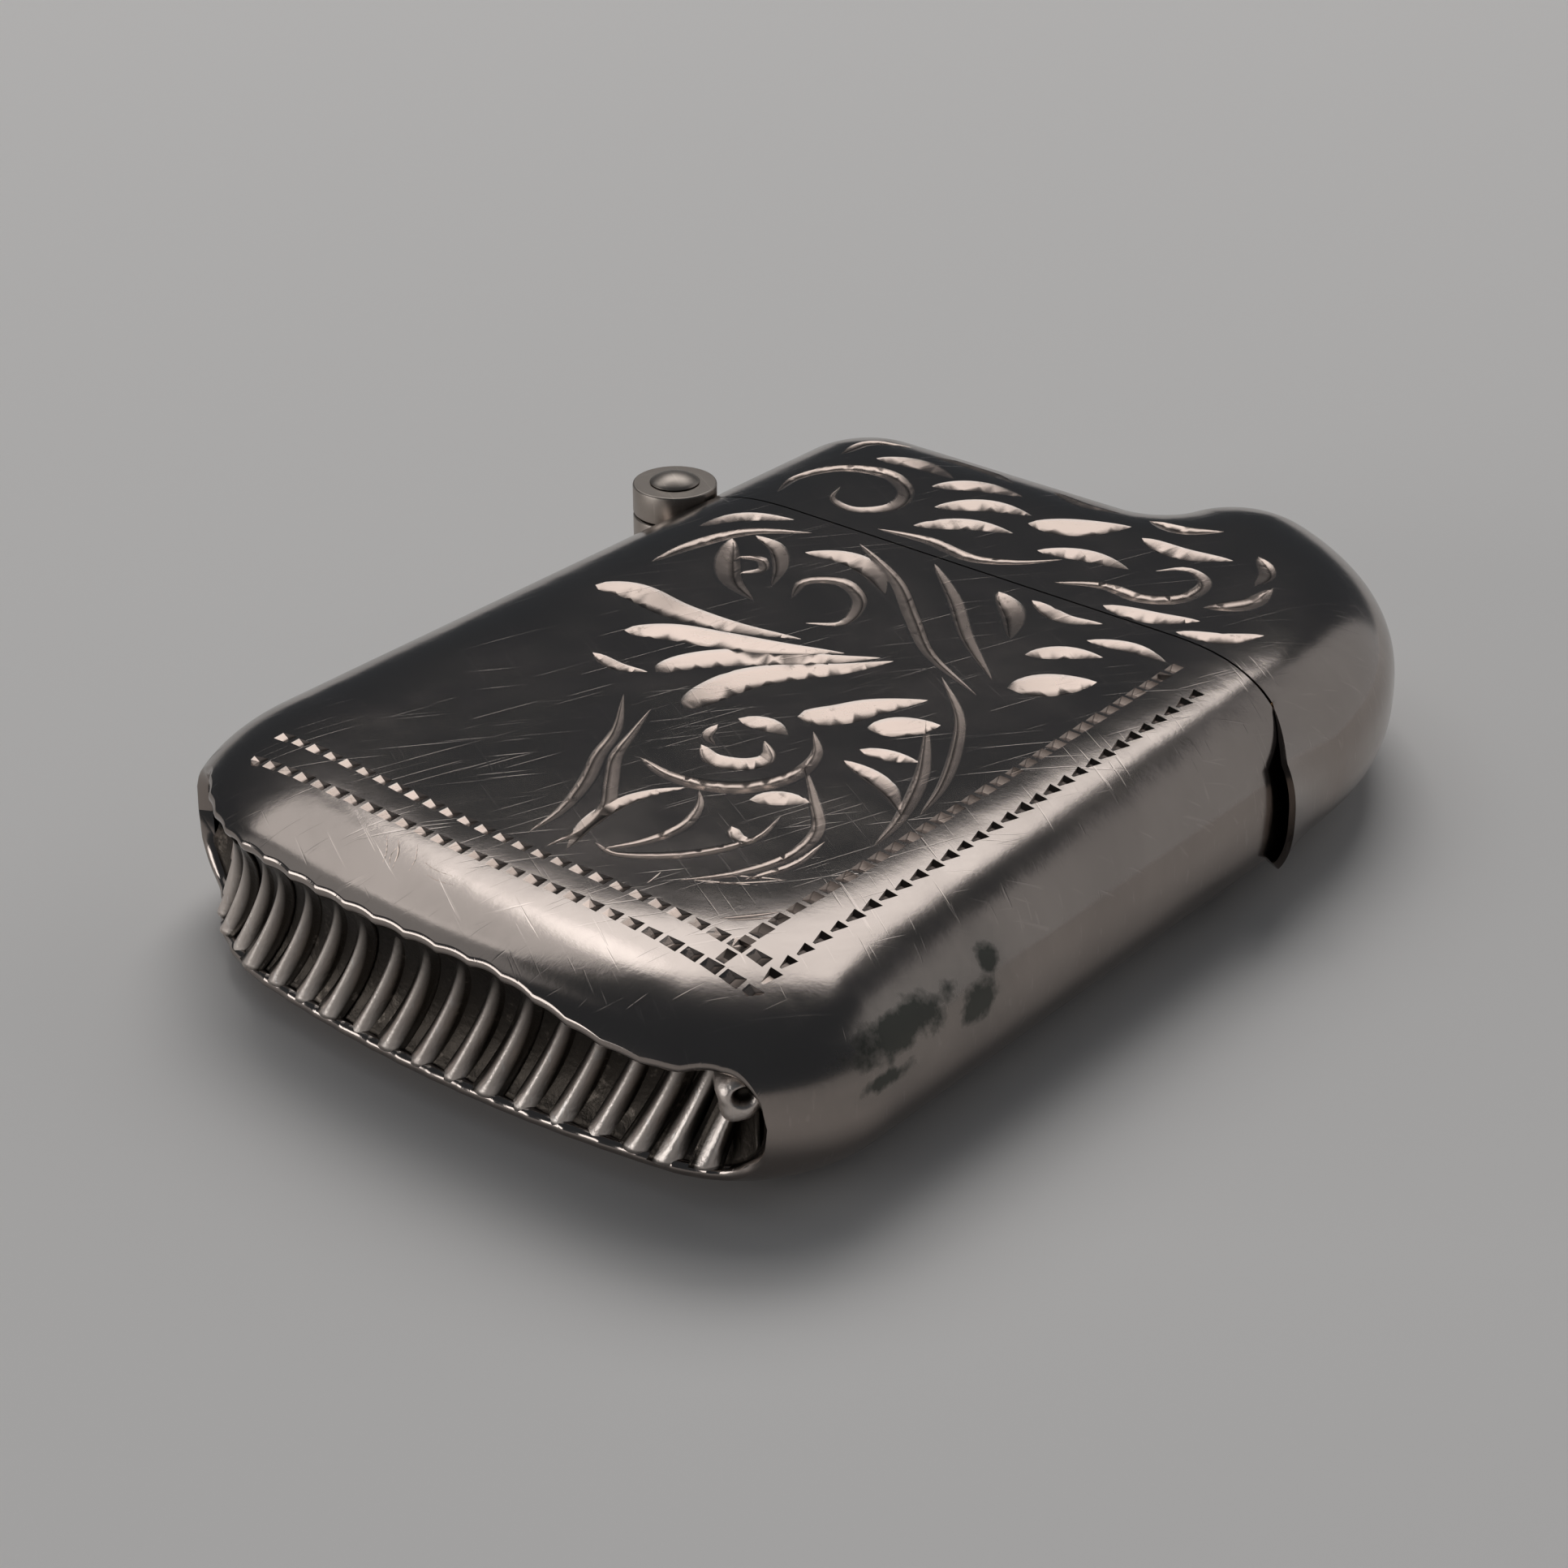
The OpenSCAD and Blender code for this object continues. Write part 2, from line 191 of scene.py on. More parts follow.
# %% [markdown]
# ## Pricked border lines
# The engraver walked a small punch along two lines beside the striker and two beside the
# thumb edge. Marks that repeat along a path are a job for Geometry Nodes: the tree
# resamples the path at the punch's pitch and puts a mark on every point, a little
# unevenly. The marks are only placed here. They are cut into the face further on.

# %% Border paths
BORDERS = [
    [(-12.3, -10.9), (-6, -11.2), (0, -11.5), (6, -11.4), (12.4, -11.6)],
    [(-12.0, -12.7), (-6, -12.9), (0, -13.0), (6, -12.9), (13.3, -13.0)],
    [(11.5, -12.3), (11.6, -5.7), (11.6, 2.3), (11.5, 9.3), (11.4, 15.9)],
    [(13.3, -12.1), (13.35, -5.7), (13.35, 2.3), (13.3, 9.3), (13.2, 14.7)],
]


def run_along(points):
    """Length of a line up to each of its points."""
    steps = np.linalg.norm(np.diff(points, axis=0), axis=1)
    return np.concatenate([[0], np.cumsum(steps)])


def smooth_path(points, spacing):
    """A curve through a few points, as evenly spaced points."""
    p = np.asarray(points, float)
    p = np.vstack([2 * p[0] - p[1], p, 2 * p[-1] - p[-2]])
    out = []
    for a, b, c, d in zip(p, p[1:], p[2:], p[3:]):
        t = np.linspace(0, 1, 24, endpoint=False)[:, None]
        out.append(0.5 * (2 * b + (c - a) * t + (2 * a - 5 * b + 4 * c - d) * t**2
                          + (3 * b - a - 3 * c + d) * t**3))
    out = np.vstack(out + [p[-2:-1]])
    run = run_along(out)
    at = np.linspace(0, run[-1], max(3, int(round(run[-1] / spacing)) + 1))
    return np.stack([np.interp(at, run, out[:, k]) for k in range(2)], 1)


print("border lines:", len(BORDERS))


# %% Helpers for node trees
def tree_socket(tree, name, kind, default=None, out=False):
    way = "OUTPUT" if out else "INPUT"
    socket = tree.interface.new_socket(name, in_out=way, socket_type="NodeSocket" + kind)
    if default is not None:
        socket.default_value = default


def feed(tree, socket, value):
    """Links an output to an input, or sets the input's plain value."""
    if isinstance(value, bpy.types.NodeSocket):
        tree.links.new(value, socket)
    else:
        socket.default_value = value


def add(tree, kind, **values):
    """A node with its properties set and its inputs fed."""
    made = tree.nodes.new(kind)
    for key, value in values.items():
        if hasattr(made, key):
            setattr(made, key, value)
        else:
            feed(tree, made.inputs[key.replace("_", " ")], value)
    return made


def calc(tree, operation, *values, kind="ShaderNodeMath", out="Value"):
    """The result of a maths node on sockets and plain numbers."""
    made = add(tree, kind, operation=operation)
    for socket, value in zip(made.inputs, values):
        feed(tree, socket, value)
    return made.outputs[out]


def grow(obj, tree, **inputs):
    """Runs a geometry tree on an object and keeps the result as a plain mesh."""
    modifier = obj.modifiers.new(tree.name, "NODES")
    modifier.node_group = tree
    for item in tree.interface.items_tree:
        if item.item_type == "SOCKET" and item.in_out == "INPUT" and item.name in inputs:
            modifier[item.identifier] = inputs[item.name]
    depsgraph = bpy.context.evaluated_depsgraph_get()
    grown = bpy.data.meshes.new_from_object(obj.evaluated_get(depsgraph))
    obj.modifiers.remove(modifier)
    return grown


def object_from(name, verts, edges=(), faces=()):
    mesh = bpy.data.meshes.new(name)
    mesh.from_pydata([tuple(v) for v in verts], list(edges), [list(f) for f in faces])
    obj = bpy.data.objects.new(name, mesh)
    bpy.context.scene.collection.objects.link(obj)
    return obj


# %% Start and end of a tree that repeats a shape along a path
def path_tree(name, sizes, seed):
    """A tree with its inputs, its path resampled at the pitch, and an uneven scale."""
    tree = bpy.data.node_groups.new(name, "GeometryNodeTree")
    tree_socket(tree, "Geometry", "Geometry")
    for label, value in sizes.items():
        tree_socket(tree, label, "Float", value)
    tree_socket(tree, "Seed", "Int", seed)
    tree_socket(tree, "Material", "Material")
    tree_socket(tree, "Geometry", "Geometry", out=True)
    given = add(tree, "NodeGroupInput").outputs
    curve = add(tree, "GeometryNodeMeshToCurve", Mesh=given["Geometry"])
    spaced = add(tree, "GeometryNodeResampleCurve", mode="LENGTH",
                 Curve=curve.outputs["Curve"], Length=given["Pitch"])
    chance = add(tree, "FunctionNodeRandomValue", data_type="FLOAT", Seed=given["Seed"])
    for index, operation in ((2, "SUBTRACT"), (3, "ADD")):
        feed(tree, chance.inputs[index], calc(tree, operation, 1, given["Uneven"]))
    return tree, given, spaced.outputs["Curve"], chance.outputs[1]


def plant(tree, given, points, shape, turn, scale):
    """Puts a shape on every point, and ends the tree in plain geometry."""
    row = add(tree, "GeometryNodeInstanceOnPoints", Points=points, Instance=shape,
              Rotation=turn.outputs["Rotation"], Scale=scale)
    solid = add(tree, "GeometryNodeRealizeInstances", Geometry=row.outputs["Instances"])
    paint = add(tree, "GeometryNodeSetMaterial", Geometry=solid.outputs["Geometry"],
                Material=given["Material"])
    add(tree, "NodeGroupOutput", Geometry=paint.outputs["Geometry"])
    return tree


# %% Place the marks
PUNCH_SIZES = {"Pitch": 0.92, "Length": 0.76, "Width": 0.54, "Uneven": 0.12}
PUNCH_SEED, PUNCH_TALL = 4, 0.2


def punch_tree():
    tree, given, points, uneven = path_tree("punch_walk", PUNCH_SIZES, PUNCH_SEED)
    size = add(tree, "ShaderNodeCombineXYZ", X=given["Length"], Y=given["Width"], Z=PUNCH_TALL)
    mark = add(tree, "GeometryNodeMeshCube", Size=size.outputs["Vector"])
    tangent = add(tree, "GeometryNodeInputTangent").outputs["Tangent"]
    turn = add(tree, "FunctionNodeAlignEulerToVector", axis="X", pivot_axis="Z", Vector=tangent)
    return plant(tree, given, points, mark.outputs["Mesh"], turn, uneven)


def punch_marks():
    """Middle, direction, length and width of every mark."""
    points, edges = [], []
    for border in BORDERS:
        path = smooth_path(border, 0.5)
        first = len(points)
        points += [(x, y, 0) for x, y in path]
        edges += [(first + k, first + k + 1) for k in range(len(path) - 1)]
    guide = object_from("punch_guide", points, edges)
    grown = grow(guide, punch_tree(), Seed=PUNCH_SEED)
    corners = np.array([v.co for v in grown.vertices]).reshape(-1, 8, 3)[:, :, :2]
    bpy.data.objects.remove(guide)
    found = []
    for box in corners:
        middle = box.mean(0)
        arms = np.unique(box.round(4), axis=0) - middle
        along = np.linalg.svd(arms)[2][0]
        along = along * (1 if along[0] + along[1] > 0 else -1)
        across = np.array([-along[1], along[0]])
        length, width = (2 * np.abs(arms @ way).max() for way in (along, across))
        found.append((middle, along, length, width))
    return found


marks = punch_marks()
print("punch marks:", len(marks))

# %% [markdown]
# ## Engraved scrolls
# Bright-cut engraving is a set of tapered grooves: the graver digs in, swells and lifts
# out. Each cut is a curve through a few points with a widest place, and its floor lies off
# centre, so that one wall is broad and throws light back. The pattern is plain foliate
# scrollwork: a volute, a fan of leaf lobes and trailing fronds.

# %% Cuts on the body: points, width, lean of the floor, and how early it swells
BODY_CUTS = [
    # Stems
    ([(0.5, -10.6), (0.3, -8.6), (-0.5, -6.4), (-1.6, -4.4), (-2.5, -2.4), (-4.3, 0.0)], 0.7, 0.5),
    ([(1.7, -11.0), (1.9, -9.1), (1.4, -7.3), (0.2, -5.7), (-1.0, -4.1), (-1.8, -2.2),
      (-2.6, -0.3)], 0.7, 0.5),
    ([(2.4, -10.6), (1.7, -8.6), (1.6, -6.8), (2.0, -5.4), (2.8, -4.2)], 0.75, -0.4),
    ([(3.4, -9.8), (4.3, -8.3), (4.6, -6.6), (4.1, -5.1), (3.2, -4.1)], 0.6, 0.4),
    ([(2.9, -9.6), (3.9, -9.8), (5.1, -9.1), (6.2, -8.0), (7.0, -6.6), (7.3, -5.3),
      (6.9, -3.7)], 0.6, 0.5),
    ([(6.0, -5.5), (6.7, -6.0), (7.3, -5.8)], 0.6, -0.4),
    ([(7.1, -9.7), (8.2, -8.3), (8.9, -6.8), (9.1, -5.3), (8.6, -3.6), (7.0, -1.9),
      (5.0, 0.0)], 0.65, 0.4),
    ([(8.9, -8.2), (9.6, -6.2), (9.4, -4.2)], 0.45, 0.3),
    ([(11.0, -3.3), (10.5, -1.1), (9.3, 1.7), (7.9, 3.9), (6.4, 5.9)], 0.7, 0.4),
    ([(10.9, -0.4), (10.2, 1.9), (8.9, 4.5), (7.2, 7.0), (4.6, 9.3)], 0.6, 0.4),
    # Short nicks by the corner
    ([(9.9, -10.8), (10.7, -9.9), (11.35, -9.0)], 0.24, 0.3),
    ([(10.2, -10.7), (10.9, -10.0), (11.4, -9.4)], 0.16, 0.3),
    ([(7.3, -9.5), (8.5, -8.8), (9.5, -8.2)], 0.12, 0.0),
    ([(7.9, -9.3), (9.1, -8.3), (10.3, -7.0)], 0.12, 0.0),
    ([(8.3, -8.3), (9.1, -7.8), (10.0, -7.3)], 0.12, 0.0),
    ([(6.2, -9.7), (6.3, -10.1), (6.35, -10.6)], 0.1, 0.0),
    # Volute
    ([(-0.2, -3.6), (1.4, -4.0), (3.2, -3.7), (4.6, -2.7), (5.3, -0.9), (4.9, 0.9),
      (3.6, 2.3)], 1.0, 0.5),
    ([(0.9, -1.3), (2.0, -1.9), (3.2, -1.5), (3.6, -0.5), (2.6, 0.5)], 1.0, -0.4),
    ([(0.3, 0.4), (0.6, -0.6), (1.4, -1.0)], 0.5, 0.4),
    ([(0.6, 1.3), (1.7, 1.6), (3.0, 1.5)], 1.1, -0.6),
    ([(5.2, -3.5), (6.0, -2.7), (7.1, -2.2)], 1.1, -0.6),
    # Fan of leaf lobes
    ([(-1.7, 0.6), (-1.7, 2.5), (-1.4, 4.2), (-0.4, 5.8), (1.0, 7.3), (2.2, 9.2)], 1.8, -0.6, 0.6),
    ([(-4.7, 2.3), (-4.3, 3.7), (-3.2, 5.2), (-1.5, 6.6), (0.2, 7.8), (1.6, 9.1)], 1.6, -0.6, 0.6),
    ([(-8.2, 4.4), (-6.6, 5.5), (-4.6, 6.2), (-2.2, 7.2), (0.2, 8.5)], 1.6, -0.6, 0.6),
    ([(-12.2, 7.0), (-10.4, 7.5), (-7.8, 7.2), (-4.9, 7.5), (-2.0, 8.4)], 1.6, -0.6, 0.55),
    ([(-7.8, 2.0), (-6.2, 1.7), (-4.9, 2.1)], 0.7, -0.4),
    ([(2.3, 2.9), (3.4, 4.0), (4.1, 5.5), (5.4, 7.3)], 1.7, -0.6, 0.6),
    ([(5.0, 3.9), (6.1, 4.9), (7.1, 5.9)], 1.7, -0.6),
    ([(5.9, 2.3), (7.1, 2.6), (8.3, 2.9)], 0.9, -0.6),
    ([(6.0, 1.2), (7.6, 0.9), (9.0, 0.3), (10.2, -0.7)], 0.85, -0.5),
    # Scrolls towards the mouth
    ([(7.2, 10.2), (8.4, 11.5), (9.7, 12.9)], 2.0, -0.5),
    ([(6.0, 13.1), (7.2, 14.3), (8.6, 14.9)], 1.2, -0.5),
    ([(7.2, 15.8), (9.0, 16.4), (10.8, 16.2)], 0.9, -0.5),
    ([(-10.7, 14.3), (-9.4, 12.4), (-7.9, 10.9), (-5.9, 10.0)], 1.3, 0.4),
    ([(-10.1, 15.2), (-8.6, 14.8), (-7.2, 13.4), (-6.2, 11.6)], 0.9, -0.5),
    ([(-9.4, 12.9), (-8.4, 13.4), (-7.6, 12.6), (-8.2, 11.7)], 0.6, 0.4),
    ([(-4.8, 11.2), (-5.4, 12.9), (-4.2, 13.8), (-2.4, 12.8), (-1.6, 10.7), (-2.8, 9.7)], 0.8, 0.4),
    ([(-7.3, 15.2), (-5.6, 15.9), (-3.8, 15.5), (-2.0, 14.1)], 1.3, -0.5),
    ([(-6.0, 17.4), (-2.5, 15.4), (0.3, 12.9), (3.0, 10.6), (6.6, 8.9)], 0.8, 0.4),
    ([(-2.2, 17.8), (0.6, 15.5), (3.2, 12.9), (6.3, 10.4)], 0.75, -0.4),
    ([(-11.9, 10.3), (-11.6, 12.9), (-10.6, 15.4), (-8.4, 17.0)], 0.9, 0.4),
    ([(-12.9, 14.6), (-12.0, 16.4), (-9.9, 17.6)], 1.0, -0.5),
    ([(1.6, 17.3), (3.4, 15.9), (4.7, 13.9)], 1.2, -0.5),
    ([(3.2, 17.5), (5.2, 16.9), (6.8, 17.5)], 0.9, -0.5),
    # Scratches on the shoulder by the striker
    ([(-3.6, -13.9), (-2.9, -14.6), (-2.4, -15.4)], 0.07, 0.0),
    ([(-3.1, -13.8), (-2.4, -14.5), (-1.9, -15.4)], 0.08, 0.0),
    ([(-2.7, -14.0), (-2.6, -14.7), (-2.0, -15.3)], 0.06, 0.0),
    ([(-2.2, -13.7), (-1.6, -14.4), (-1.2, -15.3)], 0.07, 0.0),
    ([(-1.4, -14.3), (-0.5, -14.5), (0.6, -14.4)], 0.06, 0.0),
    ([(-0.9, -14.8), (0.1, -14.9), (1.0, -14.7)], 0.06, 0.0),
]

# %% Cuts on the lid
LID_CUTS = [
    ([(-12.6, 19.7), (-13.0, 21.7), (-12.0, 23.6), (-9.9, 24.3), (-8.0, 23.3), (-7.4, 21.5),
      (-8.5, 20.2), (-10.0, 20.5), (-10.6, 21.8)], 0.95, 0.4),
    ([(-11.4, 25.5), (-9.4, 26.3), (-7.2, 25.9)], 1.3, -0.5),
    ([(-7.4, 24.5), (-5.8, 25.9), (-3.6, 26.3)], 1.3, -0.5),
    ([(-5.9, 22.7), (-4.2, 24.3), (-2.0, 24.7)], 1.3, -0.5),
    ([(-5.4, 20.5), (-3.6, 22.1), (-1.5, 22.6)], 1.2, -0.5),
    ([(-6.4, 19.2), (-4.0, 19.6), (-1.5, 19.3), (0.4, 20.2), (1.8, 21.7)], 0.8, 0.4),
    ([(-1.6, 23.9), (0.3, 24.9), (2.1, 26.6)], 1.9, -0.5),
    ([(0.4, 21.8), (2.4, 22.7), (4.6, 22.7)], 1.2, -0.5),
    ([(2.2, 27.9), (4.0, 27.7), (5.6, 28.7)], 1.0, 0.4),
    ([(3.2, 25.8), (5.4, 25.5), (7.6, 26.3)], 1.2, -0.5),
    ([(2.9, 19.6), (4.6, 20.6), (6.6, 20.6), (8.0, 21.7), (8.0, 23.5), (6.6, 24.3),
      (5.6, 23.3)], 0.9, 0.4),
    ([(5.8, 19.0), (8.0, 19.3), (9.8, 20.3)], 1.2, -0.5),
    ([(9.2, 21.5), (10.5, 23.1), (10.4, 25.1)], 1.1, 0.4),
    ([(9.6, 18.8), (11.4, 19.5), (12.5, 21.0)], 1.0, -0.4),
    ([(-13.2, 25.1), (-13.0, 27.1), (-11.5, 28.3)], 0.8, 0.4),
    ([(-9.8, 27.9), (-7.4, 28.2), (-5.0, 27.6)], 0.9, -0.4),
    ([(-3.2, 28.2), (-1.2, 27.6), (0.6, 28.0)], 0.8, -0.4),
    ([(8.2, 27.4), (9.4, 26.2), (9.7, 24.7)], 0.9, 0.4),
]
print("cuts:", len(BODY_CUTS), "on the body,", len(LID_CUTS), "on the lid")


# %% Shape of one cut
class Cut:
    """A tapered groove: its line, half-width along it, and where its floor lies."""

    STEEP, SWELL_POWER, LEAST_HALF = 0.34, 0.75, 0.012

    def __init__(self, points, width, lean, swell=0.85):
        self.line = smooth_path(points, 0.3)
        t = np.linspace(0, 1, len(self.line))
        swollen = np.sin(np.pi * t**swell) ** self.SWELL_POWER
        self.half = np.maximum(width / 2 * swollen, self.LEAST_HALF)
        self.lean = lean
        along = np.gradient(self.line, axis=0)
        along /= np.linalg.norm(along, axis=1)[:, None]
        self.across = np.stack([-along[:, 1], along[:, 0]], 1)

    def rails(self):
        """Left edge, floor and right edge of the groove."""
        return [self.line + self.across * (self.half * k)[:, None] for k in (1, self.lean, -1)]

    def depth(self, points, share=False):
        """Depth at each point, or its share of the depth of the floor beside it."""
        deep = np.zeros(len(points))
        reach = self.half.max()
        low, high = self.line.min(0) - reach, self.line.max(0) + reach
        close = np.where(((points > low) & (points < high)).all(1))[0]
        q = points[close]
        near, u, half = np.full(len(q), 9.0), np.ones(len(q)), np.ones(len(q))
        widths = zip(self.half, self.half[1:])
        for (run, t, gap, d), (ha, hb) in zip(stretches(self.line, q), widths):
            hit = d < near
            near[hit] = d[hit]
            half[hit] = (ha + (hb - ha) * t)[hit]
            u[hit] = (d * np.sign(gap[:, 1] * run[0] - gap[:, 0] * run[1]))[hit] / half[hit]
        lean = self.lean
        wall = np.clip(np.where(u > lean, (1 - u) / (1 - lean), (1 + u) / (1 + lean)), 0, 1)
        deep[close] = wall * (1 if share else half * self.STEEP)
        return deep


# %% Shape of one punch mark
class Mark:
    """A pit: a pointed wedge on the outermost line, and a block with a V floor elsewhere."""

    DEEP, FLOOR_HALF = 0.13, 0.25
    WEDGE, BLOCK, WEDGES_FROM = (0.1, 0.2), (0.42, 0.02), 12.4
    # The first two of these set where the deep end of a pit starts to be darkened, and how fast:
    # painted shade.
    DIRT_FROM, DIRT_OVER, SLACK = -0.3, 0.35, 0.02

    def __init__(self, middle, along, length, width):
        self.middle, self.along = middle, along
        self.across = np.array([-along[1], along[0]])
        self.length, self.width = length, width
        outermost = middle[0] > self.WEDGES_FROM and along[1] > 0.7
        self.start, self.floor = self.WEDGE if outermost else self.BLOCK

    def at(self, u, v):
        return self.middle + self.along * u * self.length + self.across * v * self.width

    def rails(self):
        corners = ((-0.5, -self.start), (0.5, -0.5), (0.5, 0.5), (-0.5, self.start))
        rim = np.array([self.at(u, v) for u, v in corners])
        floor = np.array([self.at(self.floor, v) for v in (-self.FLOOR_HALF, self.FLOOR_HALF)])
        return [np.vstack([rim, rim[:1]]), floor]

    def depth(self, points, share=False):
        q = points - self.middle
        u, v = q @ self.along / self.length, q @ self.across / self.width
        half = self.start + (0.5 - self.start) * np.clip(u + 0.5, 0, 1)
        ramp_in = (u + 0.5) / (self.floor + 0.5)
        stop = (0.5 - u) / (0.5 - self.floor)
        sides = (half - np.abs(v)) / np.maximum(half - self.FLOOR_HALF, 0.05)
        deep = np.minimum(np.minimum(ramp_in, stop), sides)
        # With share, it gives the part to darken: the deep end of the pit, as painted shade.
        if share:
            grime_and_shade = np.clip((u - self.DIRT_FROM) / self.DIRT_OVER, 0, 1)
            return np.where(deep > -self.SLACK, grime_and_shade, 0)
        return self.DEEP * np.clip(deep, 0, 1)


body_cuts = [Cut(*c) for c in BODY_CUTS] + [Mark(*m) for m in marks]
lid_cuts = [Cut(*c) for c in LID_CUTS]
print("widest cut:", max(2 * c.half.max() for c in body_cuts if isinstance(c, Cut)).round(2), "mm")

# %% [markdown]
# ## Cutting the face
# A displaced grid would need millions of faces for grooves this fine. A constrained
# Delaunay triangulation does it with few: the edges and floors of the cuts go in as lines,
# and every vertex then takes its height from the edge profile less the depth of the cut.


# %% Triangulate a face with its cuts
ROW_STEP, CLEAR = 0.87, 0.45
BOW, BOW_SPAN = 0.05, 40


def inside(loop, points):
    """Which points lie inside a closed loop."""
    x, y = points[:, 0], points[:, 1]
    hit = np.zeros(len(points), bool)
    for (x0, y0), (x1, y1) in zip(loop, np.roll(loop, -1, 0)):
        if y0 != y1:
            hit ^= ((y0 > y) != (y1 > y)) & (x < (x1 - x0) * (y - y0) / (y1 - y0) + x0)
    return hit


def lattice(loop, spacing):
    """Evenly spread points inside a loop and clear of it."""
    low, high = loop.min(0), loop.max(0)
    rows = np.arange(low[1], high[1], spacing * ROW_STEP)
    pts = np.array([(x + (k % 2) * spacing / 2, y) for k, y in enumerate(rows)
                    for x in np.arange(low[0], high[0], spacing)])
    pts = pts[inside(loop, pts)]
    gap = np.min(np.linalg.norm(pts[:, None] - loop[None], axis=2), axis=1)
    return pts[gap > spacing * CLEAR]


def bow_plan(points, back=False):
    """Bows straight sides a little, so that no triangle lies flat along one of them."""
    scale = 1 + BOW * (1 - (points[:, 1:] / BOW_SPAN) ** 2)
    x = points[:, :1] / scale if back else points[:, :1] * scale
    return np.hstack([x, points[:, 1:]])


def cut_face(loop, cuts, spacing):
    """Plan points, triangles and the place of the loop's points among them."""
    n = len(loop)
    verts = [tuple(p) for p in np.vstack([loop, lattice(loop, spacing)])]
    edges = [(k, (k + 1) % n) for k in range(n)]
    for cut in cuts:
        for rail in cut.rails():
            keep = inside(loop, rail)
            first = len(verts)
            verts += [tuple(p) for p in rail]
            edges += [(first + k, first + k + 1) for k in range(len(rail) - 1)
                      if keep[k] and keep[k + 1]]
    flat = [Vector(v) for v in bow_plan(np.array(verts))]
    out = geometry.delaunay_2d_cdt(flat, edges, [], 0, 1e-5)
    points = np.array([tuple(v) for v in out[0]])
    place = {c: k for k, came in enumerate(out[3]) for c in came}
    tris = np.array([f for f in out[2] if len(f) == 3])
    tris = tris[inside(bow_plan(loop), points[tris].mean(1))]
    return bow_plan(points, back=True), tris, [place[k] for k in range(n)]


# %% [markdown]
# ## Where the sheets end
# The mouth cuts body and lid off along the seam, which dips at the thumb side and leaves
# room for the hinge barrel. At the striker end the two halves part round an opening, whose
# rim is scalloped by the ribs and has worn down towards the thumb side.

# %% Mouths of the body and the lid
DIP_X, BODY_DIP_R, LID_DIP_R = 9.5, 13.0, 13.5
HINGE = np.array([-CASE_W / 2 - 0.2, MOUTH])
BARREL_R, BARREL_LEN, KNUCKLES = 1.95, 7.4, 5
OWN_ROOM, SWING_ROOM = 0.02, 0.25


def hinge_room(height, own):
    """Radius of the notch round the barrel at a height above the middle."""
    index = np.floor((height + BARREL_LEN / 2) / (BARREL_LEN / KNUCKLES)).astype(int)
    room = np.where(np.isin(index, own), BARREL_R + OWN_ROOM, BARREL_R + SWING_ROOM)
    return np.where(np.abs(height) > BARREL_LEN / 2 + 0.1, 0, room)


def mouth_line(way, dip_r, own, x, height):
    """Where a sheet ends: way is -1 on the body and 1 on the lid."""
    edge = MOUTH + way * HALF_GAP
    dip = np.maximum(dip_r**2 - (x - DIP_X) ** 2, 0)
    y = np.where(x > DIP_X, edge - dip_r + np.sqrt(dip), np.full(np.shape(x), edge))
    room = hinge_room(height, own) ** 2 - (x - HINGE[0]) ** 2
    notch = HINGE[1] + way * np.sqrt(np.maximum(room, 0))
    return np.where((x < 0) & (room > 0), way * np.maximum(way * y, way * notch), y)


body_mouth = partial(mouth_line, -1, BODY_DIP_R, (0, 2, 4))
lid_mouth = partial(mouth_line, 1, LID_DIP_R, (1, 3))
print("seam at the thumb side:", body_mouth(np.array(CASE_W / 2), np.array(0.0)).round(2))

# %% The striker's opening in the end of the body
STRIKER_H, COVE_DEEP, STRIP_T = 5.6, 1.1, 0.5
RIBS, RIB_PITCH, TAPER, SHIFT = 21, 1.6, 3.0, -0.8
THUMB_SHORT, SCALLOP = 0.45, 0.06
SAG, SAG_FROM, SAG_OVER = 0.95, 4, 8
LIFT, LIFT_FROM, LIFT_OVER = 0.45, 12.5, 3
LEAN = math.tan(math.radians(23))
STRIKER_ARC = (RIBS + 1) * RIB_PITCH / 2
COVE_R = ((STRIKER_H / 2) ** 2 + COVE_DEEP**2) / (2 * COVE_DEEP)


def along_end(line):
    """Distance along the outline from the middle of the striker end."""
    run = run_along(line[:, :2])
    bow = line[:, 1] < END + 2
    return run - np.interp(0, line[bow, 0], run[bow])


def opening_share(arc_len):
    reach = np.where(arc_len > SHIFT, STRIKER_ARC - THUMB_SHORT, STRIKER_ARC)
    t = np.clip((np.abs(arc_len - SHIFT) - reach + TAPER) / TAPER, 0, 1)
    return (1 - t**2.5) ** 0.4


def ease(t):
    t = np.clip(t, 0, 1)
    return t**2 * (3 - 2 * t)


def rim_height(arc_len, half):
    """Half-height of the opening, on the front half (1) or the back half (-1)."""
    share = opening_share(arc_len)
    phase = (arc_len - SHIFT - half * LEAN * STRIKER_H / 2) / RIB_PITCH
    scallop = SCALLOP * np.abs(np.sin(np.pi * phase))
    worn = 0
    if half > 0:
        worn = (SAG * ease((arc_len - SAG_FROM) / SAG_OVER)
                - LIFT * ease((arc_len - LIFT_FROM) / LIFT_OVER))
    height = STRIKER_H / 2 * share + scallop * share - worn
    return np.where(share > 0, np.maximum(height, 0), 0)


end_run = along_end(body_line)
print("opening:", 2 * STRIKER_ARC, "mm long and", STRIKER_H, "mm high")

# %% [markdown]
# ## Building a sheet
# Each half of the body and of the lid is a closed solid 0.6 mm thick: the outer edge as a
# grid of rings, the cut face on top, an inner wall, a rim that joins them, and the thin
# wall of the mouth. Strips between two rows of points with different counts are zipped.


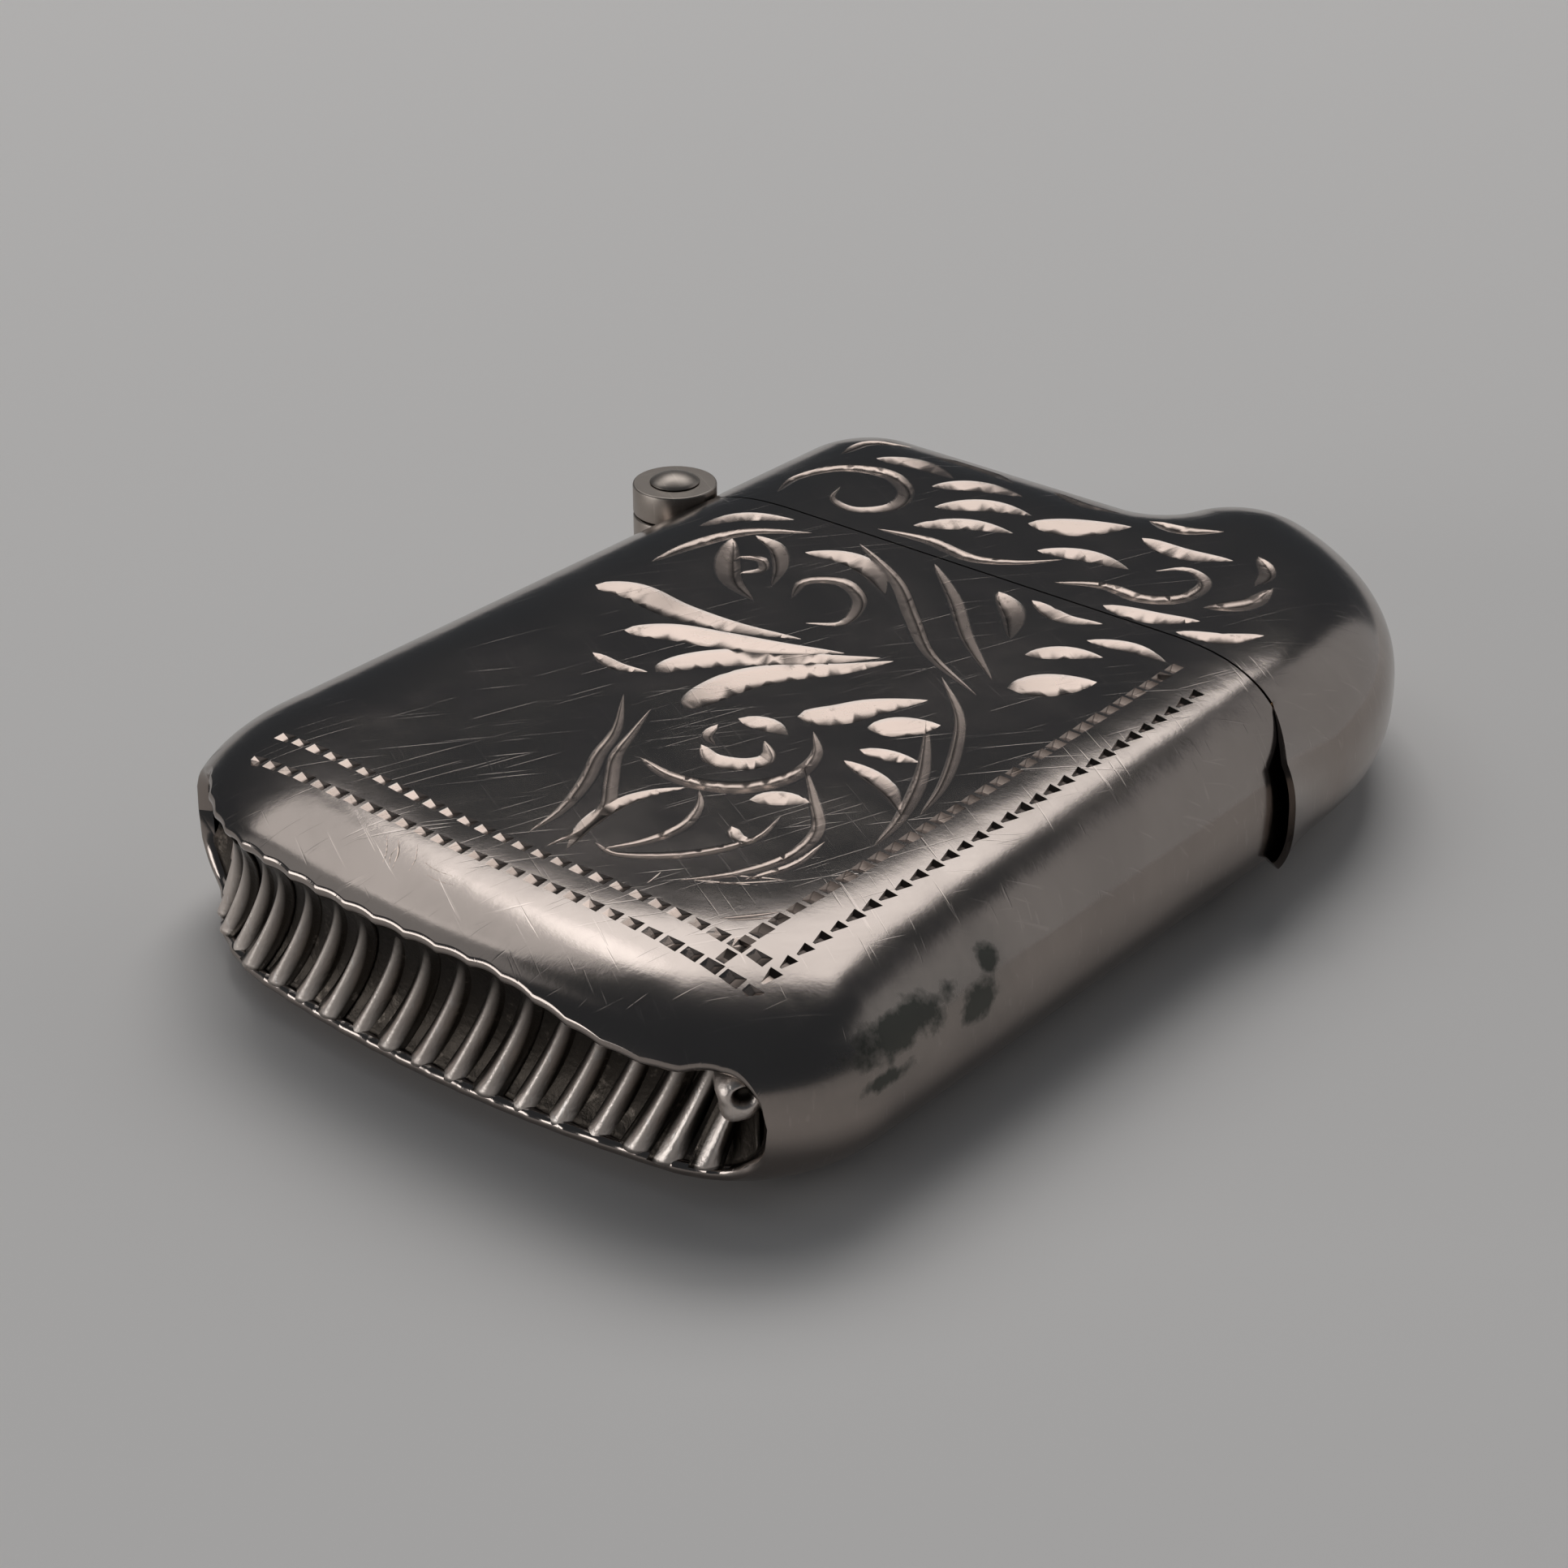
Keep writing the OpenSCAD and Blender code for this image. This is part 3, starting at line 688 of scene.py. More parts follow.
# %% Zip two rows of vertices
def zip_rows(verts, a, b):
    """Faces between two rows of vertex numbers."""
    if len(a) == len(b):
        return [(a[k], b[k], b[k + 1], a[k + 1]) for k in range(len(a) - 1)]

    def run(row):
        length = run_along(np.array([verts[i] for i in row]))
        return length / max(length[-1], 1e-9)

    ra, rb, faces, i, j = run(a), run(b), [], 0, 0
    while i < len(a) - 1 or j < len(b) - 1:
        if j == len(b) - 1 or (i < len(a) - 1 and ra[i + 1] <= rb[j + 1]):
            faces.append((a[i], b[j], a[i + 1]))
            i += 1
        else:
            faces.append((a[i], b[j], b[j + 1]))
            j += 1
    return faces


# %% What a sheet gathers
OUTER, CUTS, PITS, INNER, RIM, LIP = range(6)
FULL_ROLL = 0.8


class Sheet:
    """Vertices, normals, depths in the cuts and faces of one half, step by step."""

    def __init__(self, line, mouth, opening=None, worn=False):
        self.line, self.spot, self.facing, self.mouth = line, line[:, :2], line[:, 2:], mouth
        self.count, self.worn = len(line), worn
        self.opening = np.zeros(len(line)) if opening is None else opening
        self.roll = np.clip(self.opening / FULL_ROLL, 0, 1)
        self.verts, self.normals, self.depths, self.faces, self.kind = [], [], [], [], []

    def put(self, x, y, z, normal=(0, 0, 0), cut=0.0):
        self.verts.append((x, y, z))
        self.normals.append(normal)
        self.depths.append(cut)
        return len(self.verts) - 1

    def fill(self, faces, group):
        self.faces.extend(faces)
        self.kind.extend([group] * len(faces))

    def join(self, rows, group):
        for a, b in zip(rows, rows[1:]):
            self.fill(zip_rows(self.verts, a, b), group)

    def spread(self, points, place, border, *values):
        """Puts the points of a face that aren't on its border, and numbers them all."""
        at = dict(zip(place, border))
        for q, point in enumerate(points):
            if q not in at:
                at[q] = self.put(*point, *(value[q] for value in values))
        return at

    def stop(self, i, x, y, z):
        """y of a point: the first and last rows stop at the mouth."""
        return float(self.mouth(np.array(x), np.array(z))) if i in (0, self.count - 1) else y

    def seam(self, row, steps):
        """Points along the mouth between the ends of a row."""
        xs = np.linspace(self.verts[row[-1]][0], self.verts[row[0]][0], steps)[1:-1]
        return np.stack([xs, self.mouth(xs, np.full_like(xs, EDGE))], 1)


# %% Outer edge, with a corner that wear has rounded
RING, NOSE, OUTER_ROWS = 3.0, 0.26, 26
WEAR_AT, WEAR_REACH, WEAR_DEEP = 14.8, 3.8, 0.6


def corner_wear(x, y, z):
    """How far the thumb-side corner has worn down, and the slopes that gives."""
    a, b = (x - WEAR_AT) / WEAR_REACH, (y + WEAR_AT) / WEAR_REACH
    drop = WEAR_DEEP * np.exp(-(a**2 + b**2)) * (z / EDGE) ** 4
    return drop, -2 * a / WEAR_REACH * drop, -2 * b / WEAR_REACH * drop


def outward(facing_x, facing_y, steep, z, wear):
    """Worn height and outward direction of the surface."""
    drop, wear_x, wear_y = wear
    kept = steep * (1 - 4 * drop / np.maximum(z, 0.1))
    normal = [facing_x * kept + wear_x, facing_y * kept + wear_y, np.ones_like(kept)]
    normal = np.stack(normal, -1)
    return z - drop, normal / np.linalg.norm(normal, axis=-1)[..., None]


def outer_edge(sheet):
    """Rings from the rim up to where the cut face begins."""
    rows = []
    for i in range(sheet.count):
        low = float(inset_for(sheet.opening[i] + NOSE * sheet.roll[i]))
        t0 = math.acos(max(0, 1 - low / EDGE_W) ** (POWER / 2))
        t1 = math.acos((1 - RING / EDGE_W) ** (POWER / 2))
        row = []
        for d in EDGE_W * (1 - np.cos(np.linspace(t0, t1, OUTER_ROWS + 1)) ** (2 / POWER)):
            x, y = sheet.spot[i] - sheet.facing[i] * d
            z = float(rise(d))
            y = sheet.stop(i, x, y, z)
            wear = corner_wear(x, y, z) if sheet.worn else (0, 0, 0)
            z, normal = outward(*sheet.facing[i], slope(d), z, wear)
            row.append(sheet.put(x, y, float(z), tuple(normal)))
        rows.append(row)
    sheet.join(rows, OUTER)
    return rows


# %% Face, with its cuts
SEAM_STEPS, LEAST_CUT = 44, 0.004


def cut_top(sheet, outer, cuts, spacing):
    """Adds the face, and gives the row of vertices along the mouth."""
    ring = [row[-1] for row in outer]
    loop = np.vstack([np.array([sheet.verts[r][:2] for r in ring]), sheet.seam(ring, SEAM_STEPS)])
    points, tris, place = cut_face(loop, cuts, spacing)
    d, away = nearest(sheet.line, points)
    z = rise(d)
    # Depth of the cuts, and a dark share: patina on the floors of the cuts, painted shade at the
    # deep ends of the punch marks.
    deep, grime_and_shade = np.zeros(len(points)), np.zeros(len(points))
    for cut in cuts:
        deep = np.maximum(deep, cut.depth(points))
        grime_and_shade = np.maximum(grime_and_shade, cut.depth(points, share=True))
    wear = corner_wear(*points.T, z) if sheet.worn else (0 * z, 0 * z, 0 * z)
    z, normal = outward(*away.T, slope(d), z, wear)
    at = sheet.spread(points, place, ring, z - deep, normal, grime_and_shade)
    group = np.full(len(tris), OUTER)
    for cut in cuts:
        hit = cut.depth(points[tris].mean(1)) > LEAST_CUT
        group[hit] = PITS if isinstance(cut, Mark) else CUTS
    for tri, g in zip(tris, group):
        sheet.fill([tuple(at[q] for q in tri)], g)
    return [at[p] for p in place[sheet.count:]][::-1]


# %% Inner wall and its flat
INNER_ROWS, INNER_REACH, INNER_TURN = 12, 4.4, math.radians(80)
INNER_SEAM_STEPS, INNER_SPACING = 16, 4.0


def inner_wall(sheet, outer):
    """Adds the inside, and gives its rows and the row along the mouth."""
    rows, inner_t = [], EDGE - WALL
    for i in range(sheet.count):
        rim = outer[i][0]
        x, y, z = np.array(sheet.verts[rim]) - WALL * np.array(sheet.normals[rim])
        low = math.asin(min(1, max(0, z / inner_t) ** (POWER / 2)))
        row = [sheet.put(x, sheet.stop(i, x, y, z), z)]
        for t in np.linspace(low, INNER_TURN, INNER_ROWS + 1)[1:]:
            d = WALL + (EDGE_W - WALL) * (1 - math.cos(t) ** (2 / POWER))
            x, y = sheet.spot[i] - sheet.facing[i] * min(d, INNER_REACH)
            z = inner_t * math.sin(t) ** (2 / POWER)
            row.append(sheet.put(x, sheet.stop(i, x, y, z), z))
        rows.append(row)
    sheet.join(rows, INNER)
    flat = [row[-1] for row in rows]
    level = sheet.verts[flat[0]][2]
    seam = [sheet.put(x, y, level) for x, y in sheet.seam(flat, INNER_SEAM_STEPS)]
    border = flat + seam
    loop = np.array([sheet.verts[v][:2] for v in border])
    points, tris, place = cut_face(loop, [], INNER_SPACING)
    at = sheet.spread(points, place, border, np.full(len(points), level))
    sheet.fill([tuple(at[q] for q in tri) for tri in tris], INNER)
    return rows, seam[::-1]


# %% Rim along the middle, rolled over where the striker's opening is
def rolled_rim(sheet, outer, inner):
    rows = []
    for i in range(sheet.count):
        first, last = outer[i][0], inner[i][0]
        row = [first]
        if sheet.roll[i] > 0:
            a, b = (np.array(sheet.verts[v]) for v in (first, last))
            normal = sheet.normals[first]
            down = np.array([*(sheet.facing[i] * normal[2]), -math.hypot(*normal[:2])])
            for w in np.linspace(0, math.pi, 8)[1:-1]:
                over = a + (b - a) * (1 - math.cos(w)) / 2
                row.append(sheet.put(*(over + down * NOSE * sheet.roll[i] * math.sin(w))))
        rows.append(row + [last])
    sheet.join(rows, RIM)


# %% From rows to a mesh
def to_metres(verts, flip=1):
    return [(x * MM, y * MM, (EDGE + flip * z) * MM) for x, y, z in verts]


def settle(obj, crease=None):
    """Turns all faces outwards and smooths them. Gives the open edges and the volume."""
    work = bmesh.new()
    work.from_mesh(obj.data)
    bmesh.ops.recalc_face_normals(work, faces=work.faces)
    volume = work.calc_volume(signed=True)
    if volume < 0:
        bmesh.ops.reverse_faces(work, faces=work.faces)
    for face in work.faces:
        face.smooth = True
    for edge in work.edges if crease else ():
        edge.smooth = edge.calc_face_angle(0) < crease
    open_edges = sum(not edge.is_manifold for edge in work.edges)
    work.to_mesh(obj.data)
    work.free()
    obj.data.update()
    return open_edges, abs(volume) / MM**3


def finish_sheet(name, sheet, back):
    """A mesh with its own normals, gilt inside and a rubbed rim."""
    flip = -1 if back else 1
    obj = object_from(name, to_metres(sheet.verts, flip), faces=sheet.faces)
    open_edges, volume = settle(obj)
    mesh = obj.data
    kinds = np.array(sheet.kind, np.int32)
    given = np.array(sheet.normals) * np.array([1, 1, flip])
    flats = np.array([p.normal for p in mesh.polygons])
    areas = np.array([p.area for p in mesh.polygons])
    shared = {}
    for g in (CUTS, INNER, RIM):
        total = np.zeros((len(sheet.verts), 3))
        for p in mesh.polygons:
            if kinds[p.index] == g:
                for v in p.vertices:
                    total[v] += flats[p.index] * areas[p.index]
        shared[g] = total / np.maximum(np.linalg.norm(total, axis=1), 1e-20)[:, None]
    shared[OUTER] = given
    corners, share = [], []
    for p in mesh.polygons:
        g = kinds[p.index]
        for v in p.vertices:
            corners.append(tuple(shared[g][v] if g in shared else flats[p.index]))
            share.append(sheet.depths[v] if g in (CUTS, PITS) else 0)
    # The cut value carries the groove patina and the painted shade of the punch marks.
    cut = mesh.attributes.new("cut", "FLOAT", "CORNER")
    cut.data.foreach_set("value", np.array(share, np.float32))
    finish = (1 * (kinds == INNER) + 2 * (kinds == RIM)).astype(np.int32)
    mesh.polygons.foreach_set("material_index", finish)
    mesh.normals_split_custom_set(corners)
    print(f"{name}: {len(kinds)} faces, {open_edges} open edges, {volume:.0f} mm3")
    return obj


# %% Make the four sheets
ENGRAVED, PLAIN = 0.9, 1.2


def build_sheet(name, line, mouth, cuts, spacing, opening=None, back=False, worn=False):
    sheet = Sheet(line, mouth, opening, worn)
    outer = outer_edge(sheet)
    seam = cut_top(sheet, outer, cuts, spacing)
    inner, inner_seam = inner_wall(sheet, outer)
    rolled_rim(sheet, outer, inner)
    ends = [rows[0] + row + rows[-1][::-1] for rows, row in ((outer, seam), (inner, inner_seam))]
    sheet.fill(zip_rows(sheet.verts, *ends), LIP)
    return finish_sheet(name, sheet, back)


body_front = build_sheet("body_front_sheet", body_line, body_mouth, body_cuts, ENGRAVED,
                         rim_height(end_run, 1), worn=True)
body_back = build_sheet("body_back_sheet", body_line, body_mouth, [], PLAIN,
                        rim_height(end_run, -1), back=True)
lid_front = build_sheet("lid_front_sheet", lid_line, lid_mouth, lid_cuts, ENGRAVED)
lid_back = build_sheet("lid_back_sheet", lid_line, lid_mouth, [], PLAIN, back=True)

# %% [markdown]
# ## The striker
# Matches were struck on a hollow strip with leaning ribs, let into the end of the case. On
# the real one the strip is pressed and the ribs are filed. The plain hollow is a loft here,
# and the ribs come from Geometry Nodes: one arched rib, repeated along the outline at the
# rib pitch, shrinking with the opening at both ends and slightly uneven, as filed work is.

# %% The hollow strip
STRIP_FIT, STRIP_DEEP, STRIP_END = 0.05, 0.42, 0.13


def end_frames(arcs):
    """Place, facing direction, share of the opening and axis of the hollow along the end."""
    place = np.stack([np.interp(arcs, end_run, body_line[:, k]) for k in range(4)], 1)
    share = opening_share(arcs)
    half = STRIKER_H / 2 * share
    axis = (COVE_R - COVE_DEEP) * share - inset_for(half) - STRIP_DEEP
    return place[:, :2], place[:, 2:], share, half, axis


def loft_faces(steps, rows):
    """Faces of a loft whose loops run along one side and back along the other."""
    loop = 2 * rows + 2
    faces = []
    for i in range(steps):
        for j in range(loop):
            k = (j + 1) % loop
            faces.append((i * loop + j, (i + 1) * loop + j, (i + 1) * loop + k, i * loop + k))
    for base in (0, steps * loop):
        for j in range(rows):
            faces.append(tuple(base + q for q in (j, j + 1, loop - 2 - j, loop - 1 - j)))
    return faces


def strip_mesh():
    reach, steps, rows = STRIKER_ARC - STRIP_END, 200, 14
    arcs = SHIFT + np.linspace(-reach, reach - THUMB_SHORT, steps + 1)
    verts, turns = [], np.linspace(-1, 1, rows + 1)
    for spot, facing, share, half, axis in zip(*end_frames(arcs)):
        front = COVE_R * share
        back = front + STRIP_T
        a, b = (math.asin(min(1, (half - STRIP_FIT) / r)) for r in (front, back))
        for r, t in [(front, t * a) for t in turns] + [(back, -t * b) for t in turns]:
            x, y = spot + facing * (axis - r * math.cos(t))
            verts.append((x, y, r * math.sin(t)))
    return verts, loft_faces(steps, rows)


strip_verts, strip_faces = strip_mesh()
print("strip:", len(strip_faces), "faces")

# %% Shape of one rib
RIB_SIZES = {"Pitch": RIB_PITCH, "Hollow radius": COVE_R, "Half turn": 1.0, "Crest share": 0.42,
             "End height": 0.22, "Width": 1.2, "Lean": LEAN, "Uneven": 0.03}
CREST_FALL, NARROWING = -0.35, -0.1
SUNK, TOP_LIFT = 0.15, -0.12
# The second of these darkens each rib towards its top: painted shade, as from the rim above it.
RUBBED, TOP_SHADE_FALL = 0.72, -0.55


def one_rib(tree, given):
    """A block of fine squares bent into the hollow, with a rounded back that leans."""
    do = partial(calc, tree)
    block = add(tree, "GeometryNodeMeshCube", Vertices_X=15, Vertices_Y=29, Vertices_Z=2)
    where = add(tree, "GeometryNodeInputPosition").outputs["Position"]
    parts = add(tree, "ShaderNodeSeparateXYZ", Vector=where).outputs
    over, up = (do("MULTIPLY", parts[axis], 2.0) for axis in "XY")
    top = do("ADD", parts["Z"], 0.5)
    turn, radius = given["Half turn"], given["Hollow radius"]
    angle = do("MULTIPLY", up, turn)
    rise_y = do("MULTIPLY", radius, do("SINE", angle))
    floor_x = do("MULTIPLY", radius, do("COSINE", angle))
    hollow = do("SUBTRACT", floor_x, do("MULTIPLY", radius, do("COSINE", turn)))
    # The crest is highest near the foot of the rib and runs out at its top
    share = do("MULTIPLY_ADD", up, CREST_FALL, given["Crest share"])
    foot = do("MULTIPLY", given["End height"], do("MULTIPLY_ADD", up, -0.5, 0.5))
    tall = do("MULTIPLY_ADD", hollow, share, foot)
    rounded = do("POWER", do("SUBTRACT", 1.0, do("MULTIPLY", over, over)), 2.0)
    back = do("MULTIPLY", top, rounded)
    sunk = do("MULTIPLY_ADD", top, TOP_LIFT, SUNK)
    x = do("SUBTRACT", do("ADD", floor_x, sunk), do("MULTIPLY", back, tall))
    half_w = do("MULTIPLY", given["Width"], do("MULTIPLY_ADD", up, NARROWING, 0.5))
    z = do("MULTIPLY_ADD", rise_y, given["Lean"], do("MULTIPLY", over, half_w))
    spot = add(tree, "ShaderNodeCombineXYZ", X=x, Y=rise_y, Z=z)
    # Rubbed brightness on the crest, falling towards the top of the rib: that fall is painted
    # shade.
    ridge = do("MULTIPLY", back, do("MULTIPLY_ADD", up, TOP_SHADE_FALL, RUBBED))
    named = add(tree, "GeometryNodeStoreNamedAttribute", data_type="FLOAT", domain="POINT",
                Name="ridge", Geometry=block.outputs["Mesh"], Value=ridge)
    shaped = add(tree, "GeometryNodeSetPosition", Geometry=named.outputs["Geometry"],
                 Position=spot.outputs["Vector"])
    return shaped.outputs["Geometry"]


# %% Tree that repeats the rib
RIB_GUIDE = {"shift": "FLOAT_VECTOR", "inward": "FLOAT_VECTOR", "share": "FLOAT"}
RIB_SEED = 7


def rib_tree():
    """Ribs on points along the outline, moved on to the axis of the hollow."""
    tree, given, points, uneven = path_tree("rib_row", RIB_SIZES, RIB_SEED)
    rib = one_rib(tree, given)
    shift, inward, share = (
        add(tree, "GeometryNodeInputNamedAttribute", data_type=kind, Name=name).outputs["Attribute"]
        for name, kind in RIB_GUIDE.items())
    moved = add(tree, "GeometryNodeSetPosition", Geometry=points, Offset=shift)
    tangent = add(tree, "GeometryNodeInputTangent").outputs["Tangent"]
    turn = add(tree, "FunctionNodeAxesToRotation", primary_axis="X", secondary_axis="Z",
               Primary_Axis=inward, Secondary_Axis=tangent)
    scale = calc(tree, "MULTIPLY", share, uneven)
    return plant(tree, given, moved.outputs["Geometry"], rib, turn, scale)


# %% A lump of solder in the thumb-side corner, with a blow-hole
LUMP_ARC, LUMP_UP, LUMP_IN = 15.45, 0.75, 1.15
LUMP_W, LUMP_H, LUMP_TALL, LUMP_BASE, LUMP_BACK = 0.95, 1.05, 1.45, 0.7, -0.9
PIT_AT, PIT_REACH, PIT_DEEP = (0.12, 0.28), (0.36, 0.3), 0.5
LUMP_BRIGHT, TIP_BRIGHT = 0.8, 0.4


def blow_hole(a, up):
    far = [(v - at) / reach for v, at, reach in zip((a, up), PIT_AT, PIT_REACH)]
    return math.exp(-(far[0] ** 2 + far[1] ** 2) ** 2)


def solder_lump(first):
    """Vertices, faces and brightness of a low dome with a pit, set on the hollow."""
    rings, steps = 18, 40
    spot, facing, *_ = end_frames(np.array([LUMP_ARC]))
    spot, facing = spot[0] - facing[0] * LUMP_IN, facing[0]
    tangent = np.array([-facing[1], facing[0]])
    verts, ridge = [], []
    for r in np.linspace(1, 0, rings + 1)[:-1]:
        for w in np.linspace(0, 2 * math.pi, steps, endpoint=False):
            wide = 1 + 0.09 * math.sin(3 * w + 1.2) + 0.05 * math.sin(5 * w)
            a, up = LUMP_W * wide * r * math.cos(w), LUMP_H * wide * r * math.sin(w)
            pit = blow_hole(a, up)
            out = LUMP_TALL * math.sqrt(1 - r**4) - LUMP_BASE - PIT_DEEP * pit
            verts.append((*(spot + tangent * a + facing * out), LUMP_UP + up))
            ridge.append(LUMP_BRIGHT * (1 - pit))
    tip_out = LUMP_TALL - LUMP_BASE - PIT_DEEP * blow_hole(0, 0)
    for out, bright in ((tip_out, TIP_BRIGHT), (LUMP_BACK, 0)):
        verts.append((*(spot + facing * out), LUMP_UP))
        ridge.append(bright)
    faces = []
    for k in range(rings - 1):
        for j in range(steps):
            n = (j + 1) % steps
            low, high = k * steps, (k + 1) * steps
            faces.append((low + j, low + n, high + n, high + j))
    tip, back, inmost = rings * steps, rings * steps + 1, (rings - 1) * steps
    for j in range(steps):
        n = (j + 1) % steps
        faces += [(inmost + j, inmost + n, tip), (n, j, back)]
    return verts, [tuple(first + v for v in f) for f in faces], ridge


# %% Grow the ribs and join them to the strip
def striker_piece():
    last, steps = (RIBS - 1) / 2 * RIB_PITCH, 200
    spot, facing, share, _, axis = end_frames(SHIFT + np.linspace(-last, last, steps + 1))
    level = 0 * spot[:, :1]
    guide = object_from("rib_guide", np.hstack([spot, level]), [(k, k + 1) for k in range(steps)])
    values = {"shift": np.hstack([facing * axis[:, None], level]),
              "inward": np.hstack([-facing, level]), "share": share}
    for name, kind in RIB_GUIDE.items():
        data = guide.data.attributes.new(name, kind, "POINT").data
        field = "value" if kind == "FLOAT" else "vector"
        data.foreach_set(field, values[name].astype(np.float32).ravel())
    half_turn = math.asin((STRIKER_H / 2 - STRIP_FIT) / COVE_R)
    ribs = grow(guide, rib_tree(), **{"Half turn": half_turn, "Seed": RIB_SEED})
    bpy.data.objects.remove(guide)
    first = len(strip_verts)
    verts = strip_verts + [tuple(v.co) for v in ribs.vertices]
    faces = strip_faces + [tuple(first + v for v in p.vertices) for p in ribs.polygons]
    ridge = [0.0] * first + [value.value for value in ribs.attributes["ridge"].data]
    lump_verts, lump_faces, lump_ridge = solder_lump(len(verts))
    verts, faces, ridge = verts + lump_verts, faces + lump_faces, ridge + lump_ridge
    obj = object_from("striker_strip", to_metres(verts), faces=faces)
    settle(obj)
    attribute = obj.data.attributes.new("ridge", "FLOAT", "POINT")
    attribute.data.foreach_set("value", np.array(ridge, np.float32))
    print("striker:", len(faces), "faces,", len(ribs.polygons), "of them ribs")
    return obj


striker = striker_piece()

# %% [markdown]
# ## The thumb lip
# A thin flare soldered round the lid's thumb side gives the nail a grip. It starts flush
# with the lid, leans out towards the seam and runs on a little past the lid's edge. The
# same edge profile carries it, so that it sits on the lid without a gap, and it fades out
# above and below.

# %% Flare on the thumb side
LIP_RISE, LIP_UP, LIP_Z, LIP_REACH, LIP_DIP_R = 0.7, 0.9, 3.5, 4.6, 10.6
LIP_T, LIP_LEAST, LIP_CREASE = 0.3, 0.02, math.radians(40)
LIP_OFF, LIP_FREE, LIP_SUNK = 0.01, 0.04, -0.15


def thumb_lip():
    across, along = 44, 26
    flare = (LIP_REACH**2 + LIP_RISE**2) / (2 * LIP_RISE)
    top = MOUTH + LIP_UP
    verts = []
    for z in np.linspace(-LIP_Z, LIP_Z, across + 1):
        d = float(inset_for(abs(z)))
        s = float(slope(d))
        nx, nz = s / math.hypot(s, 1), math.copysign(1 / math.hypot(s, 1), z)
        fade = (1 - (abs(z) / LIP_Z) ** 4) ** 0.5
        x0 = CASE_W / 2 - d

        def at(q, lift):
            return x0 + nx * lift, top - q, z + nz * lift

        def outer_lift(q):
            return fade * (flare - math.sqrt(flare**2 - q**2)) + LIP_OFF

        def edge(x):
            x = min(x, DIP_X + LIP_DIP_R - 0.5)
            return top - MOUTH - HALF_GAP + LIP_DIP_R - math.sqrt(LIP_DIP_R**2 - (x - DIP_X) ** 2)

        # The lip runs on past the lid's own edge, clear of the body's side
        lid_end = top - float(lid_mouth(np.array(x0), np.array(0.0))) - LIP_OFF
        reached = edge(x0)
        for _ in range(12):
            tried = edge(at(reached, outer_lift(reached))[0])
            reached = 0.5 * reached + 0.5 * min(tried, LIP_REACH)
        reached = lid_end + max(0, reached - lid_end) * fade

        def inner_lift(q):
            lowest = LIP_FREE if q > lid_end else LIP_SUNK
            return min(max(outer_lift(q) - LIP_T, lowest), outer_lift(q) - LIP_LEAST)

        verts += [at(q, outer_lift(q)) for q in np.linspace(0, reached, along + 1)]
        verts += [at(q, inner_lift(q)) for q in np.linspace(reached, 0, along + 1)]
    obj = object_from("thumb_flare", to_metres(verts), faces=loft_faces(across, along))
    settle(obj, LIP_CREASE)
    print("thumb lip:", len(obj.data.polygons), "faces")
    return obj


lip = thumb_lip()

# %% [markdown]
# ## Wear, as shader groups
# Old silver darkens unevenly where fingers don't polish it, and a century in a pocket
# leaves fine lines in every direction and a few stains. These effects go over several
# pieces, so each is a node group that gives only masks and heights. The materials decide
# what to do with them.


# %% Groups for tarnish and hairlines
def shader_group(name, sizes, outputs):
    """A group with a place and some sizes as inputs, and values as outputs."""
    tree = bpy.data.node_groups.new(name, "ShaderNodeTree")
    tree_socket(tree, "Vector", "Vector")
    for label, value in sizes.items():
        tree_socket(tree, label, "Float", value)
    for label in outputs:
        tree_socket(tree, label, "Float", out=True)
    return tree, add(tree, "NodeGroupInput").outputs


def noise(tree, vector, **values):
    return add(tree, "ShaderNodeTexNoise", Vector=vector, **values).outputs[0]


def ramp(tree, value, start, stop, low=0.0, high=1.0):
    made = add(tree, "ShaderNodeMapRange", Value=value, From_Min=start, From_Max=stop,
               To_Min=low, To_Max=high)
    return made.outputs["Result"]


def vector_calc(tree, operation, *values, out="Vector"):
    return calc(tree, operation, *values, kind="ShaderNodeVectorMath", out=out)


def tarnish_group():
    tree, given = shader_group("tarnish", {"Scale": 0.12}, ("Cloud", "Spots"))
    cloud = noise(tree, given["Vector"], Scale=given["Scale"], Detail=5.0, Roughness=0.62,
                  Distortion=0.6)
    fine_scale = calc(tree, "MULTIPLY", given["Scale"], 9)
    fine = noise(tree, given["Vector"], Scale=fine_scale, Detail=4.0, Roughness=0.7)
    add(tree, "NodeGroupOutput", Cloud=ramp(tree, cloud, 0.38, 0.68),
        Spots=ramp(tree, fine, 0.6, 0.74))
    return tree


def hairline_group():
    tree, given = shader_group("hairlines", {"Scale": 1.0}, ("Lines",))
    lines = None
    for turn, stretch, cut in ((0.5, 26, 0.71), (-0.9, 20, 0.72), (1.9, 34, 0.73)):
        spin = add(tree, "ShaderNodeVectorRotate", rotation_type="Z_AXIS",
                   Vector=given["Vector"], Angle=turn).outputs["Vector"]
        thin = vector_calc(tree, "MULTIPLY", spin, (0.16, stretch / 4, 1.0))
        streak = noise(tree, thin, Scale=given["Scale"], Detail=1.0, Roughness=0.5)
        edge = ramp(tree, streak, cut - 0.03, cut + 0.03)
        lines = edge if lines is None else calc(tree, "MAXIMUM", lines, edge)
    add(tree, "NodeGroupOutput", Lines=lines)
    return tree


# %% Group for stains that stay in one place
STAIN_SPOTS = [
    # Middle, and reach along x, y and z
    ((16.8, -9.6, 6.1), (2.0, 2.9, 0.8)),
    ((17.35, -10.8, 4.85), (1.5, 1.4, 0.35)),
    ((17.2, -5.3, 5.4), (1.5, 1.1, 0.8)),
    ((16.9, -4.3, 6.5), (1.5, 0.6, 0.5)),
]


